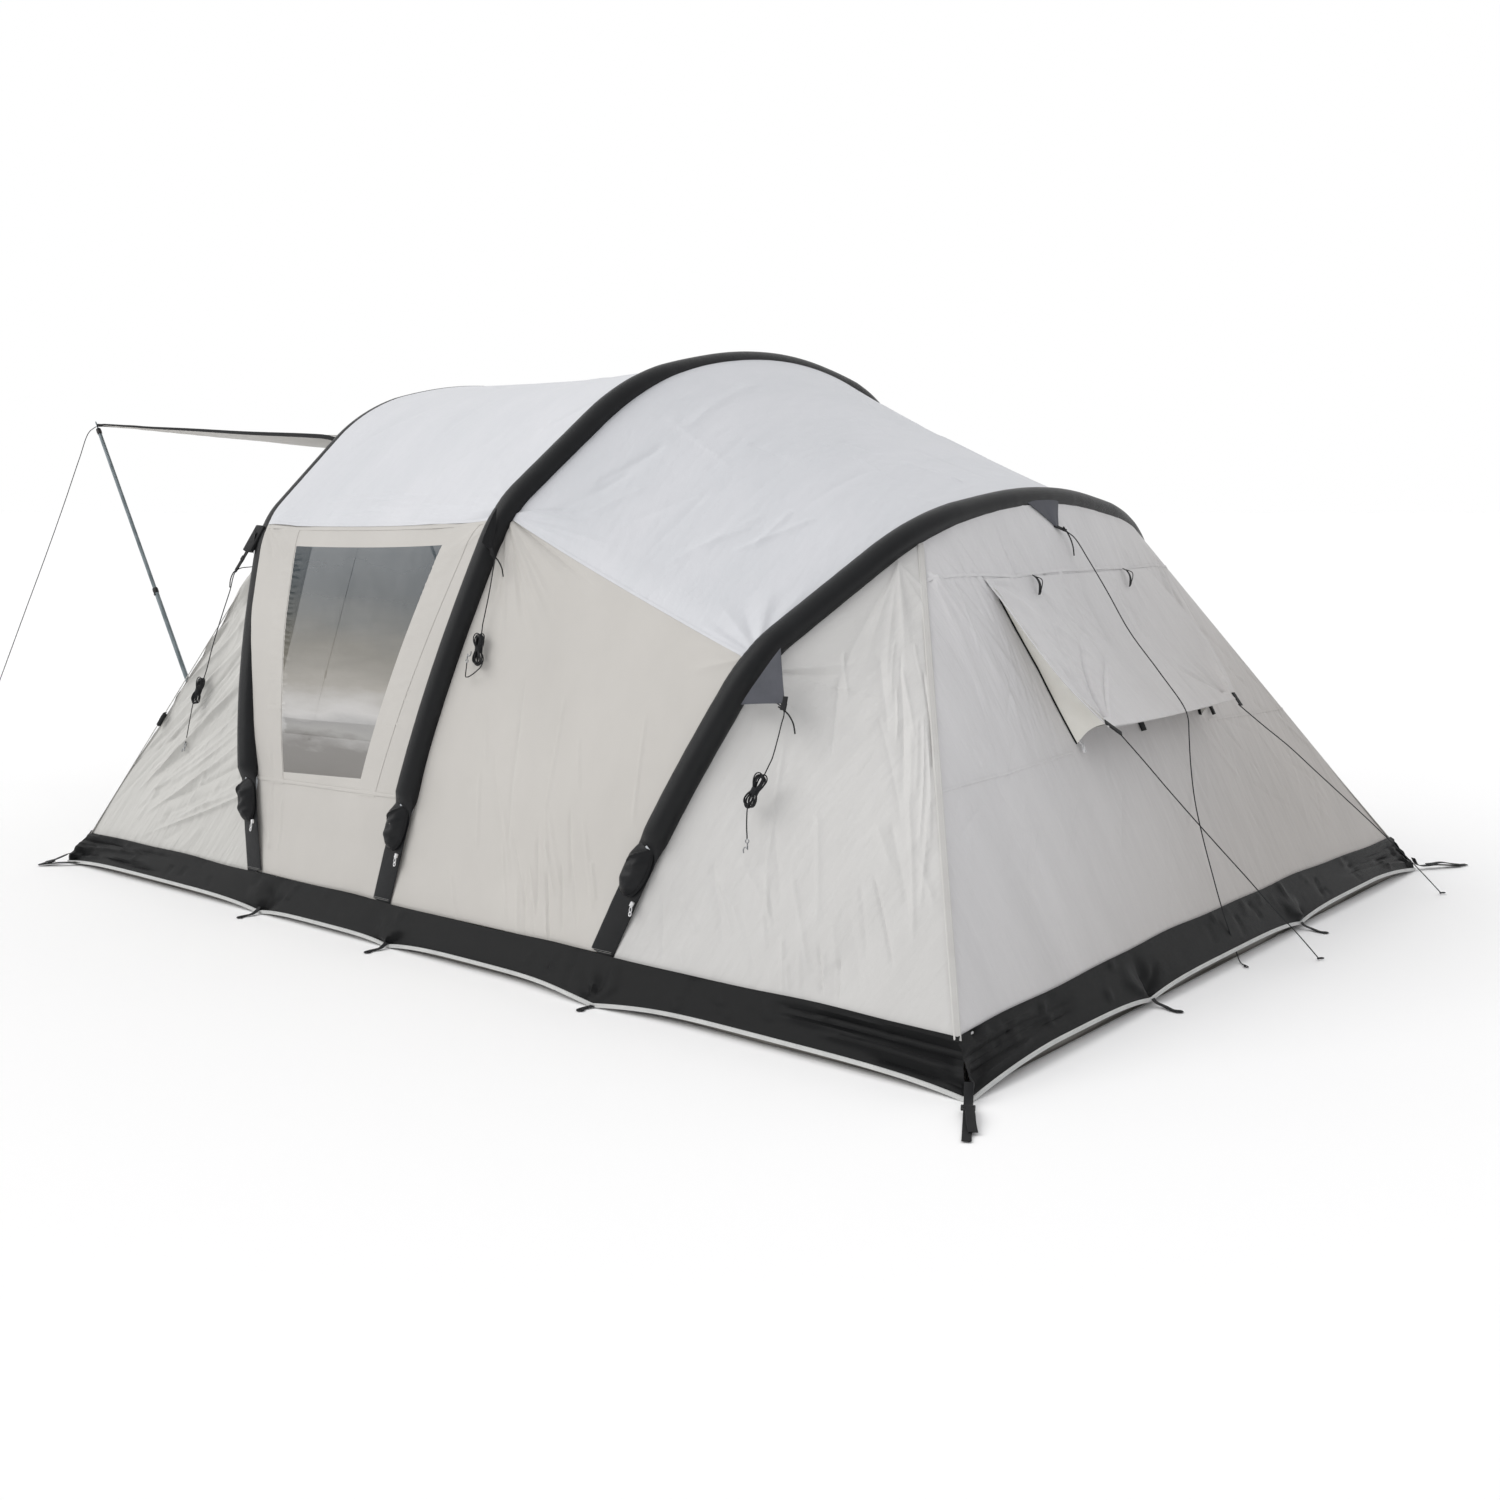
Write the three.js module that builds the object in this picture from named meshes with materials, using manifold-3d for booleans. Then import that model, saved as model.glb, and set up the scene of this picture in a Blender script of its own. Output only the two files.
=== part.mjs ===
// Inflatable tunnel tent with three air beams, a raised door canopy on two telescopic poles,
// a rear window with a propped cover flap, and stowed guy lines. Millimetres, +Z up.
// The door faces -X, the low rear wall faces +X, and the origin is the centre of the groundsheet's underside.
import * as THREE from 'three';
import { mergeVertices } from 'three/addons/utils/BufferGeometryUtils.js';
import Module from 'manifold-3d';

const wasm = await Module();
wasm.setup();

// Footprint and skirt
const LENGTH = 4514;
const WIDTH = 3500;
const FLOOR_T = 4;
const SKIRT_TOP = 130;
const SKIRT_LEAN_X = 71;
const SKIRT_LEAN_Y = 58;

// Cloth panels, and the slit between neighbouring pieces
const CLOTH_T = 3;
const SLIT = 1;
const SEAM_GAP = 4;
const CLOTH_INSET = 20;
const ROOF_SAG = 26;

// Air beams and the sleeves round them
const TUBE_R = 33;
const SLEEVE_IN_R = 41.5;
const SLEEVE_OUT_R = 45;
const BEAM_SIDES = 8;
const BEAM_STEPS = 34;
const FOOT_INSET = 50;
const KNEE_BEND = 150;
const SHOULDER_BEND = 190;

// Each arch leans: x = footX + lean * (z - SKIRT_TOP)
const ARCHES = {
  front: { footX: -995, lean: -0.245, kneeY: 1333, kneeZ: 1434, shoulderY: 752, shoulderZ: 1889, crownZ: 2033 },
  middle: { footX: -224, lean: 0.206, kneeY: 1327, kneeZ: 1504, shoulderY: 789, shoulderZ: 1952, crownZ: 2105 },
  rear: { footX: 868, lean: 0.399, kneeY: 1384, kneeZ: 1068, shoulderY: 737, shoulderZ: 1463, crownZ: 1573 },
};

// Door opening, canopy and its poles
const DOOR_HALF = 905;
const CANOPY_HINGE = { x: -1512, z: 1812 };
const CANOPY_EDGE = { x: -3322, z: 1911 };
const CANOPY_HALF_INNER = 884;
const CANOPY_HALF_OUTER = 915;
const POLE_Y = 900;
const POLE_FOOT_X = -2275;
const POLE_TOP = { x: -3345, z: 1893 };
const POLE_OUTER_R = 11;
const POLE_BORE_R = 9.9;
const POLE_INNER_R = 9.3;
const POLE_LOWER_LENGTH = 1290;
const POLE_OVERLAP = 340;
const SPIKE_R = 3.5;
const SPIKE_LENGTH = 44;

// Windows
const SIDE_WINDOW = [[-888, 521], [-429, 542], [-247, 1385], [-1071, 1367]];
const REAR_WINDOW = [[-455, 790], [455, 790], [505, 1215], [-505, 1215]];
const FLAP_HINGE = { x: 1626, z: 1285 };
const FLAP_LENGTH = 590;
const FLAP_ANGLE = -52;
const FLAP_HALF_TOP = 582;
const FLAP_HALF_BOTTOM = 498;

// Valve pocket on each near leg
const POCKET_Z = 405;
const POCKET = { width: 96, height: 190, depth: 56, wall: 3 };
const VALVE_R = 19;
const VALVE_H = 12;
const CAP_R = 21;
const CAP_H = 9;
const CAP_LUGS = 8;

// Cords
const GUY_D = 4;
const HANK = { run: 76, width: 36, thick: 18 };

const HALF_L = LENGTH / 2;
const HALF_W = WIDTH / 2;
const WALL_Y = HALF_W - SKIRT_LEAN_Y;
const WALL_X = HALF_L - SKIRT_LEAN_X;
const WALL_Z = SKIRT_TOP + SLIT;
const SLEEVE_CLEAR = SLEEVE_OUT_R + 3 * SLIT;

const material = (color, roughness, metalness = 0, opacity = 1) => new THREE.MeshStandardMaterial({
  color, roughness, metalness, opacity, transparent: opacity < 1, side: THREE.DoubleSide,
});
const MATERIALS = {
  roof: () => material(0xdcdedf, 0.62),
  wall: () => material(0xd3cfc7, 0.66),
  black: () => material(0x1f2226, 0.55),
  tpu: () => material(0xc9ccd0, 0.35),
  clear: () => material(0x8d9294, 0.12, 0, 0.4),
  floor: () => material(0x8b8e90, 0.7),
  inner: () => material(0xe6e0d2, 0.8),
  steel: () => material(0x9ea4a8, 0.35, 0.9),
  plastic: () => material(0x17181a, 0.45),
  cord: () => material(0x202124, 0.8),
};

const tent = new THREE.Group();

function add(name, geometry, look, parent = tent) {
  const mesh = new THREE.Mesh(geometry, MATERIALS[look]());
  mesh.name = name;
  parent.add(mesh);
  return mesh;
}

// Closed solid from a grid of points on a sheet's middle surface.
function sheet(grid, thickness = CLOTH_T) {
  const rows = grid.length;
  const cols = grid[0].length;
  const at = (i, j) => grid[Math.min(Math.max(i, 0), rows - 1)][Math.min(Math.max(j, 0), cols - 1)];
  const positions = [];
  for (const side of [0.5, -0.5]) {
    for (let i = 0; i < rows; i += 1) {
      for (let j = 0; j < cols; j += 1) {
        const along = at(i + 1, j).clone().sub(at(i - 1, j));
        const across = at(i, j + 1).clone().sub(at(i, j - 1));
        const normal = along.cross(across).normalize();
        const point = grid[i][j].clone().addScaledVector(normal, side * thickness);
        positions.push(point.x, point.y, point.z);
      }
    }
  }
  const layer = rows * cols;
  const top = (i, j) => i * cols + j;
  const index = [];
  const quad = (a, b, c, d) => index.push(a, b, c, a, c, d);
  for (let i = 0; i < rows - 1; i += 1) {
    for (let j = 0; j < cols - 1; j += 1) {
      const [a, b, c, d] = [top(i, j), top(i + 1, j), top(i + 1, j + 1), top(i, j + 1)];
      quad(a, b, c, d);
      quad(a + layer, d + layer, c + layer, b + layer);
    }
  }
  const rim = [];
  for (let i = 0; i < rows - 1; i += 1) rim.push(top(i, 0));
  for (let j = 0; j < cols - 1; j += 1) rim.push(top(rows - 1, j));
  for (let i = rows - 1; i > 0; i -= 1) rim.push(top(i, cols - 1));
  for (let j = cols - 1; j > 0; j -= 1) rim.push(top(0, j));
  rim.forEach((a, k) => {
    const b = rim[(k + 1) % rim.length];
    quad(a, a + layer, b + layer, b);
  });
  const geometry = new THREE.BufferGeometry();
  geometry.setAttribute('position', new THREE.Float32BufferAttribute(positions, 3));
  geometry.setIndex(index);
  return geometry;
}

function toSolid(geometry) {
  const bare = geometry.clone();
  bare.deleteAttribute('normal');
  bare.deleteAttribute('uv');
  const merged = mergeVertices(bare, 1e-3);
  return new wasm.Manifold(new wasm.Mesh({
    numProp: 3,
    vertProperties: Float32Array.from(merged.attributes.position.array),
    triVerts: Uint32Array.from(merged.index.array),
  }));
}

function toGeometry(solid) {
  const mesh = solid.getMesh();
  const geometry = new THREE.BufferGeometry();
  geometry.setAttribute('position', new THREE.Float32BufferAttribute(mesh.vertProperties, 3));
  geometry.setIndex(Array.from(mesh.triVerts));
  return geometry;
}

const v = (x, y, z) => new THREE.Vector3(x, y, z);
const lerp = (a, b, t) => a.clone().lerp(b, t);

function shapeOf(corners) {
  return new THREE.Shape(corners.map(([a, b]) => new THREE.Vector2(a, b)));
}

// Corners moved towards (or away from) their middle, so that a pane clears the edge of its hole.
function shrunk(corners, by) {
  const midA = corners.reduce((sum, c) => sum + c[0], 0) / corners.length;
  const midB = corners.reduce((sum, c) => sum + c[1], 0) / corners.length;
  return corners.map(([a, b]) => [a - by * Math.sign(a - midA), b - by * Math.sign(b - midB)]);
}

// Prism that runs along Y between yLow and yHigh, from corners given as x, z.
function prismAlongY(corners, yLow, yHigh) {
  const geometry = new THREE.ExtrudeGeometry(shapeOf(corners), { depth: yHigh - yLow, bevelEnabled: false });
  geometry.rotateX(Math.PI / 2);
  geometry.translate(0, yHigh, 0);
  return geometry;
}

// Prism that runs along X between xLow and xHigh, from corners given as y, z.
function prismAlongX(corners, xLow, xHigh) {
  const geometry = new THREE.ExtrudeGeometry(shapeOf(corners), { depth: xHigh - xLow, bevelEnabled: false });
  geometry.applyMatrix4(new THREE.Matrix4().set(0, 0, 1, xLow, 1, 0, 0, 0, 0, 1, 0, 0, 0, 0, 0, 1));
  return geometry;
}

// Points of one half of an arch, foot to crown, as [distance from the centre plane, height].
// The knee and the shoulder are rounded, and the top is a shallow parabola.
function halfProfile(arch) {
  const foot = new THREE.Vector2(WALL_Y - FOOT_INSET, SKIRT_TOP);
  const knee = new THREE.Vector2(arch.kneeY, arch.kneeZ);
  const shoulder = new THREE.Vector2(arch.shoulderY, arch.shoulderZ);
  const crownAt = (y) => {
    const rise = arch.crownZ - arch.shoulderZ;
    return new THREE.Vector2(y, arch.crownZ - rise * (y / arch.shoulderY) ** 2);
  };
  const rounded = (before, corner, after) => {
    const bend = new THREE.QuadraticBezierCurve(before, corner, after);
    return bend.getPoints(3);
  };
  const toward = (from, to, distance) => from.clone().add(to.clone().sub(from).setLength(distance));
  const kneePoints = rounded(toward(knee, foot, KNEE_BEND), knee, toward(knee, shoulder, KNEE_BEND));
  const pastShoulder = crownAt(arch.shoulderY - SHOULDER_BEND);
  const shoulderPoints = rounded(toward(shoulder, knee, SHOULDER_BEND), shoulder, pastShoulder);
  const legPoints = [0, 0.34, 0.67].map((t) => foot.clone().lerp(kneePoints[0], t));
  const topPoints = [0.5, 0].map((t) => crownAt(pastShoulder.x * t));
  return [...legPoints, ...kneePoints, ...shoulderPoints, ...topPoints];
}

const LEG_POINTS = 3;
const KNEE_INDEX = LEG_POINTS + 1;
const SHOULDER_INDEX = LEG_POINTS + 6;

// Near foot to far foot: the arch's axis, with the inward normal of each point.
function archStations(arch) {
  const half = halfProfile(arch);
  const near = half.map((p) => new THREE.Vector2(-p.x, p.y));
  const far = half.slice(0, -1).reverse();
  const flat = [...near, ...far];
  return flat.map((p, k) => {
    const before = flat[Math.max(k - 1, 0)];
    const after = flat[Math.min(k + 1, flat.length - 1)];
    const along = after.clone().sub(before).normalize();
    return { y: p.x, z: p.y, inY: along.y, inZ: -along.x };
  });
}

const archX = (arch, z) => arch.footX + arch.lean * (z - SKIRT_TOP);
const archNormal = (arch) => v(1, 0, -arch.lean).normalize();

// A point on the arch, moved inwards by inset and along the arch's own normal by shift.
function archPoint(arch, station, inset, shift) {
  const y = station.y + station.inY * inset;
  const z = station.z + station.inZ * inset;
  return v(archX(arch, z), y, z).addScaledVector(archNormal(arch), shift);
}

// The cloth's edge beside an arch: side +1 is the side towards the rear wall, -1 towards the door.
function clothEdge(arch, side, first, last) {
  const stations = archStations(arch);
  return stations.slice(first, last + 1).map((s) => archPoint(arch, s, CLOTH_INSET, side * SLEEVE_CLEAR));
}

// The cloth's edge down one leg, from the skirt (on the wall line) to the knee or the shoulder.
function legEdge(arch, side, nearOrFar, topIndex) {
  const edge = clothEdge(arch, side, 1, topIndex);
  const x = archX(arch, WALL_Z);
  const foot = v(x, -WALL_Y, WALL_Z).addScaledVector(archNormal(arch), side * SLEEVE_CLEAR);
  foot.z = WALL_Z;
  const nearEdge = [foot, ...edge];
  return nearEdge.map((p) => v(p.x, p.y * nearOrFar, p.z));
}

function ruledGrid(edgeA, edgeB, cells, sag = 0) {
  return edgeA.map((a, i) => {
    const b = edgeB[i];
    const row = [];
    for (let j = 0; j <= cells; j += 1) {
      const u = j / cells;
      const point = lerp(a, b, u);
      const inward = v(0, -point.y, -point.z).normalize();
      point.addScaledVector(inward, sag * 4 * u * (1 - u));
      row.push(point);
    }
    return row;
  });
}

// Groundsheet and skirt
function makeBase() {
  const floor = new THREE.BoxGeometry(LENGTH, WIDTH, FLOOR_T);
  floor.translate(0, 0, FLOOR_T / 2);
  add('groundsheet', floor, 'floor');
  const low = FLOOR_T + CLOTH_T;
  const high = SKIRT_TOP - CLOTH_T;
  for (const [name, side] of [['near', -1], ['far', 1]]) {
    const ends = (half, y, z) => [v(-half, side * y, z), v(half, side * y, z)];
    const grid = [ends(HALF_L - CLOTH_T, HALF_W - CLOTH_T, low), ends(WALL_X, WALL_Y, high)];
    add(`mud_flap_${name}`, sheet(grid), 'black');
  }
  for (const [name, side] of [['front', -1], ['rear', 1]]) {
    const ends = (half, x, z) => [v(side * x, -half, z), v(side * x, half, z)];
    const lowRow = ends(HALF_W - 3 * SEAM_GAP, HALF_L - CLOTH_T, low);
    const grid = [lowRow, ends(WALL_Y - 2 * SEAM_GAP, WALL_X, high)];
    add(`mud_flap_${name}`, sheet(grid), 'black');
  }
}

// Air beams: an inflated tube in a sewn sleeve
function makeBeams() {
  const circle = (radius) => {
    const points = [];
    for (let k = 0; k < BEAM_SIDES; k += 1) {
      const angle = (2 * Math.PI * k) / BEAM_SIDES;
      points.push(new THREE.Vector2(radius * Math.cos(angle), radius * Math.sin(angle)));
    }
    return points;
  };
  for (const [name, arch] of Object.entries(ARCHES)) {
    const axis = archStations(arch).map((s) => archPoint(arch, s, 0, 0));
    const sleevePath = new THREE.CatmullRomCurve3(axis, false, 'centripetal');
    const ground = FLOOR_T + TUBE_R / 2;
    const stretch = (foot, next) => {
      const step = next.clone().sub(foot);
      return foot.clone().addScaledVector(step, (ground - foot.z) / step.z);
    };
    const count = axis.length;
    const longAxis = [stretch(axis[0], axis[1]), ...axis, stretch(axis[count - 1], axis[count - 2])];
    const tubePath = new THREE.CatmullRomCurve3(longAxis, false, 'centripetal');
    const tube = new THREE.ExtrudeGeometry(new THREE.Shape(circle(TUBE_R)), {
      steps: BEAM_STEPS + 2, extrudePath: tubePath, bevelEnabled: false,
    });
    add(`air_tube_${name}`, tube, 'tpu');
    const ring = new THREE.Shape(circle(SLEEVE_OUT_R));
    ring.holes.push(new THREE.Path(circle(SLEEVE_IN_R)));
    const sleeve = new THREE.ExtrudeGeometry(ring, {
      steps: BEAM_STEPS, extrudePath: sleevePath, bevelEnabled: false,
    });
    add(`beam_sleeve_${name}`, sleeve, 'black');
  }
}

// Roof and side walls between neighbouring arches; the front pair of walls has windows
function makeCanvas() {
  const last = archStations(ARCHES.front).length - 1;
  const spans = [['front', ARCHES.front, ARCHES.middle], ['rear', ARCHES.middle, ARCHES.rear]];
  for (const [name, a, b] of spans) {
    const edgeA = clothEdge(a, 1, KNEE_INDEX, last - KNEE_INDEX);
    const edgeB = clothEdge(b, -1, KNEE_INDEX, last - KNEE_INDEX);
    add(`roof_${name}`, sheet(ruledGrid(edgeA, edgeB, 4, ROOF_SAG)), 'roof');
    for (const [side, sign] of [['near', 1], ['far', -1]]) {
      const low = legEdge(a, 1, sign, KNEE_INDEX);
      const high = legEdge(b, -1, sign, KNEE_INDEX);
      const trim = (edge) => {
        const top = edge.length - 1;
        edge[top] = lerp(edge[top], edge[top - 1], (2 * SEAM_GAP) / edge[top].distanceTo(edge[top - 1]));
        return edge;
      };
      const grid = ruledGrid(trim(low), trim(high), 3);
      if (sign < 0) grid.forEach((row) => row.reverse());
      if (name === 'rear') {
        add(`wall_rear_${side}`, sheet(grid), 'wall');
      } else {
        const wall = toSolid(sheet(grid));
        const [yLow, yHigh] = sign > 0 ? [-HALF_W, -HALF_W / 2] : [HALF_W / 2, HALF_W];
        const hole = toSolid(prismAlongY(SIDE_WINDOW, yLow, yHigh));
        const pane = toSolid(prismAlongY(shrunk(SIDE_WINDOW, SLIT), yLow, yHigh));
        add(`wall_front_${side}`, toGeometry(wall.subtract(hole)), 'wall');
        add(`side_window_${side}`, toGeometry(wall.intersect(pane)), 'clear');
      }
    }
  }
}

// Rear end: two wings, and a sloping wall with a window and a cover flap
function makeRear() {
  const arch = ARCHES.rear;
  const last = archStations(arch).length - 1;
  const corner = v(WALL_X - SEAM_GAP, -WALL_Y, WALL_Z);
  for (const [side, sign] of [['near', 1], ['far', -1]]) {
    const edge = legEdge(arch, 1, 1, SHOULDER_INDEX);
    const top = edge[edge.length - 1];
    edge[edge.length - 1] = lerp(top, edge[edge.length - 2], 0.5);
    const seamTop = lerp(top, corner, 0.07);
    const grid = edge.map((p, i) => {
      const t = (p.z - WALL_Z) / (edge[edge.length - 1].z - WALL_Z);
      const seam = lerp(corner, seamTop, t);
      const row = [p, lerp(p, seam, 1 / 3), lerp(p, seam, 2 / 3), seam];
      return row.map((q) => v(q.x, q.y * sign, q.z));
    });
    if (sign < 0) grid.forEach((row) => row.reverse());
    add(`rear_wing_${side}`, sheet(grid), 'wall');
  }
  const topEdge = clothEdge(arch, 1, SHOULDER_INDEX, last - SHOULDER_INDEX);
  const grid = topEdge.map((p) => {
    const share = p.y / Math.abs(topEdge[0].y);
    const foot = v(WALL_X, share * (WALL_Y - 2 * SEAM_GAP), WALL_Z);
    return [foot, lerp(foot, p, 1 / 3), lerp(foot, p, 2 / 3), p];
  });
  const wall = toSolid(sheet(grid));
  const hole = toSolid(prismAlongX(REAR_WINDOW, HALF_L / 2, HALF_L));
  const pane = toSolid(prismAlongX(shrunk(REAR_WINDOW, SLIT), HALF_L / 2, HALF_L));
  add('rear_wall', toGeometry(wall.subtract(hole)), 'roof');
  add('rear_window', toGeometry(wall.intersect(pane)), 'clear');
  makeRearFlap();
}

function makeRearFlap() {
  const hinged = new THREE.Group();
  hinged.position.set(FLAP_HINGE.x, 0, FLAP_HINGE.z);
  hinged.rotation.y = -THREE.MathUtils.degToRad(FLAP_ANGLE);
  const top = 3;
  const grid = [
    [v(top, -FLAP_HALF_TOP, 0), v(top, FLAP_HALF_TOP, 0)],
    [v(FLAP_LENGTH, -FLAP_HALF_BOTTOM, 0), v(FLAP_LENGTH, FLAP_HALF_BOTTOM, 0)],
  ];
  add('rear_window_flap', sheet(grid), 'roof', hinged);
  tent.add(hinged);
  // The zip's slider, at the low end of the zip on the window's near edge
  const track = v(-244, -65, 441).normalize();
  const out = v(0.862, 0, 0.507).addScaledVector(track, -v(0.862, 0, 0.507).dot(track)).normalize();
  const across = track.clone().cross(out);
  const slider = new THREE.Shape();
  slider.moveTo(-6, 8);
  slider.lineTo(6, 8);
  slider.lineTo(4, -8);
  slider.lineTo(2.5, -34);
  slider.lineTo(-2.5, -34);
  slider.lineTo(-4, -8);
  const geometry = new THREE.ExtrudeGeometry(slider, { depth: 4, bevelEnabled: false });
  geometry.translate(0, 0, 5);
  geometry.applyMatrix4(new THREE.Matrix4().makeBasis(across, track, out));
  geometry.translate(1869, -471, 757);
  add('rear_zip_slider', geometry, 'steel');
}

// Door end: a bent corner panel on each side of the doorway, a header, and the canopy
function makeFront() {
  const arch = ARCHES.front;
  const last = archStations(arch).length - 1;
  const corner = v(-WALL_X + SEAM_GAP, -WALL_Y, WALL_Z);
  const doorFoot = v(-WALL_X + SEAM_GAP, -DOOR_HALF, WALL_Z);
  const doorTop = v(-1468, -DOOR_HALF - 12, 1705);
  for (const [side, sign] of [['near', 1], ['far', -1]]) {
    const edge = legEdge(arch, -1, 1, KNEE_INDEX);
    const knee = edge[edge.length - 1];
    const seamTop = lerp(knee, corner, 0.06);
    const grid = edge.map((p) => {
      const t = (p.z - WALL_Z) / (knee.z - WALL_Z);
      const seam = lerp(corner, seamTop, t);
      const jamb = lerp(doorFoot, doorTop, t);
      const row = [p, lerp(p, seam, 0.5), seam, lerp(seam, jamb, 0.5), jamb];
      return row.map((q) => v(q.x, q.y * sign, q.z));
    });
    if (sign > 0) grid.forEach((row) => row.reverse());
    add(`front_corner_${side}`, sheet(grid), 'wall');
  }
  const topEdge = clothEdge(arch, -1, SHOULDER_INDEX, last - SHOULDER_INDEX);
  const header = topEdge.map((p) => {
    const low = v(CANOPY_HINGE.x + 14, p.y, CANOPY_HINGE.z);
    return [low, lerp(low, p, 0.5), p];
  });
  add('door_header', sheet(header), 'roof');
  const inner = CANOPY_HINGE.x - 3;
  const canopy = [0, 1 / 3, 2 / 3, 1].map((t) => {
    const x = THREE.MathUtils.lerp(inner, CANOPY_EDGE.x, t);
    const z = THREE.MathUtils.lerp(CANOPY_HINGE.z, CANOPY_EDGE.z, t);
    const half = THREE.MathUtils.lerp(CANOPY_HALF_INNER, CANOPY_HALF_OUTER, t);
    return [v(x, -half, z), v(x, 0, z), v(x, half, z)];
  });
  add('door_canopy', sheet(canopy), 'wall');
}

// Telescopic canopy poles: the lower tube is hollow, and the upper one carries the spike
function makePoles() {
  const foot = v(POLE_FOOT_X, 0, 0);
  const axis = v(POLE_TOP.x, 0, POLE_TOP.z).sub(foot);
  const length = axis.length();
  const turn = new THREE.Quaternion().setFromUnitVectors(v(0, 0, 1), axis.clone().normalize());
  const lathe = (profile, sides) => new THREE.LatheGeometry(
    profile.map(([r, z]) => new THREE.Vector2(r, z)), sides,
  ).rotateX(Math.PI / 2);
  const bottom = 8;
  const plug = 60;
  const lowerProfile = [
    [0, bottom], [5, bottom], [POLE_OUTER_R, bottom + 34], [POLE_OUTER_R, POLE_LOWER_LENGTH],
    [POLE_BORE_R, POLE_LOWER_LENGTH], [POLE_BORE_R, plug], [0, plug],
  ];
  const start = POLE_LOWER_LENGTH - POLE_OVERLAP;
  const upperProfile = [
    [0, start], [POLE_INNER_R, start], [POLE_INNER_R, length], [SPIKE_R, length],
    [SPIKE_R, length + SPIKE_LENGTH - 6], [0, length + SPIKE_LENGTH],
  ];
  for (const [side, sign] of [['near', -1], ['far', 1]]) {
    const pole = new THREE.Group();
    pole.position.set(POLE_FOOT_X, sign * POLE_Y, 0);
    pole.quaternion.copy(turn);
    add(`pole_${side}_lower`, lathe(lowerProfile, 12), 'steel', pole);
    add(`pole_${side}_upper`, lathe(upperProfile, 12), 'steel', pole);
    tent.add(pole);
  }
}

// Frame on a near leg: x across the sleeve, y up the leg, z away from the tent
function legFrame(arch, height) {
  const [low, high] = archStations(arch).slice(1, 3).map((s) => archPoint(arch, s, 0, 0));
  const up = high.clone().sub(low).normalize();
  const origin = low.clone().addScaledVector(up, (height - low.z) / up.z);
  const out = v(0, -1, 0).addScaledVector(up, up.y).normalize();
  const across = up.clone().cross(out);
  return new THREE.Matrix4().makeBasis(across, up, out).setPosition(origin);
}

// Inflation valve with its screw cap, inside a zipped pocket
function makeValves() {
  const clear = SLEEVE_OUT_R + SLIT;
  const capStart = clear + VALVE_H + 0.4;
  const capShape = new THREE.Shape();
  for (let k = 0; k < 4 * CAP_LUGS; k += 1) {
    const radius = k % 4 < 2 ? CAP_R : CAP_R - 2.5;
    const angle = (2 * Math.PI * k) / (4 * CAP_LUGS);
    const [x, y] = [radius * Math.cos(angle), radius * Math.sin(angle)];
    if (k === 0) capShape.moveTo(x, y);
    else capShape.lineTo(x, y);
  }
  const outer = [];
  const inner = [];
  for (let k = 0; k <= 4; k += 1) {
    const angle = (Math.PI / 2) * (k / 4);
    const depth = POCKET.depth;
    outer.push(new THREE.Vector2(Math.cos(angle), Math.sin(angle) * depth));
    inner.push(new THREE.Vector2(Math.cos(angle) * 0.94, Math.sin(angle) * (depth - POCKET.wall)));
  }
  const profile = [...outer, ...inner.reverse(), outer[0]];
  for (const [name, arch] of Object.entries(ARCHES)) {
    const frame = legFrame(arch, POCKET_Z);
    const body = new THREE.CylinderGeometry(VALVE_R - 3, VALVE_R, VALVE_H, 16);
    body.rotateX(Math.PI / 2);
    body.translate(0, 0, clear + VALVE_H / 2);
    add(`valve_body_${name}`, body.applyMatrix4(frame), 'plastic');
    const cap = new THREE.ExtrudeGeometry(capShape, { depth: CAP_H, bevelEnabled: false });
    cap.translate(0, 0, capStart);
    add(`valve_cap_${name}`, cap.applyMatrix4(frame), 'plastic');
    const pocket = new THREE.LatheGeometry(profile, 12);
    pocket.rotateX(Math.PI / 2);
    pocket.scale(POCKET.width / 2, POCKET.height / 2, 1);
    pocket.translate(0, 0, clear);
    add(`valve_pocket_${name}`, pocket.applyMatrix4(frame), 'black');
    const pull = new THREE.Shape();
    pull.moveTo(-5, 12);
    pull.lineTo(5, 12);
    pull.lineTo(4, -2);
    pull.lineTo(2.5, -26);
    pull.lineTo(-2.5, -26);
    pull.lineTo(-4, -2);
    const puller = new THREE.ExtrudeGeometry(pull, { depth: 4, bevelEnabled: false });
    puller.translate(POCKET.width / 2 + 7, -POCKET.height / 2 + 10, clear - 2);
    add(`zip_pull_${name}`, puller.applyMatrix4(frame), 'steel');
  }
}

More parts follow.
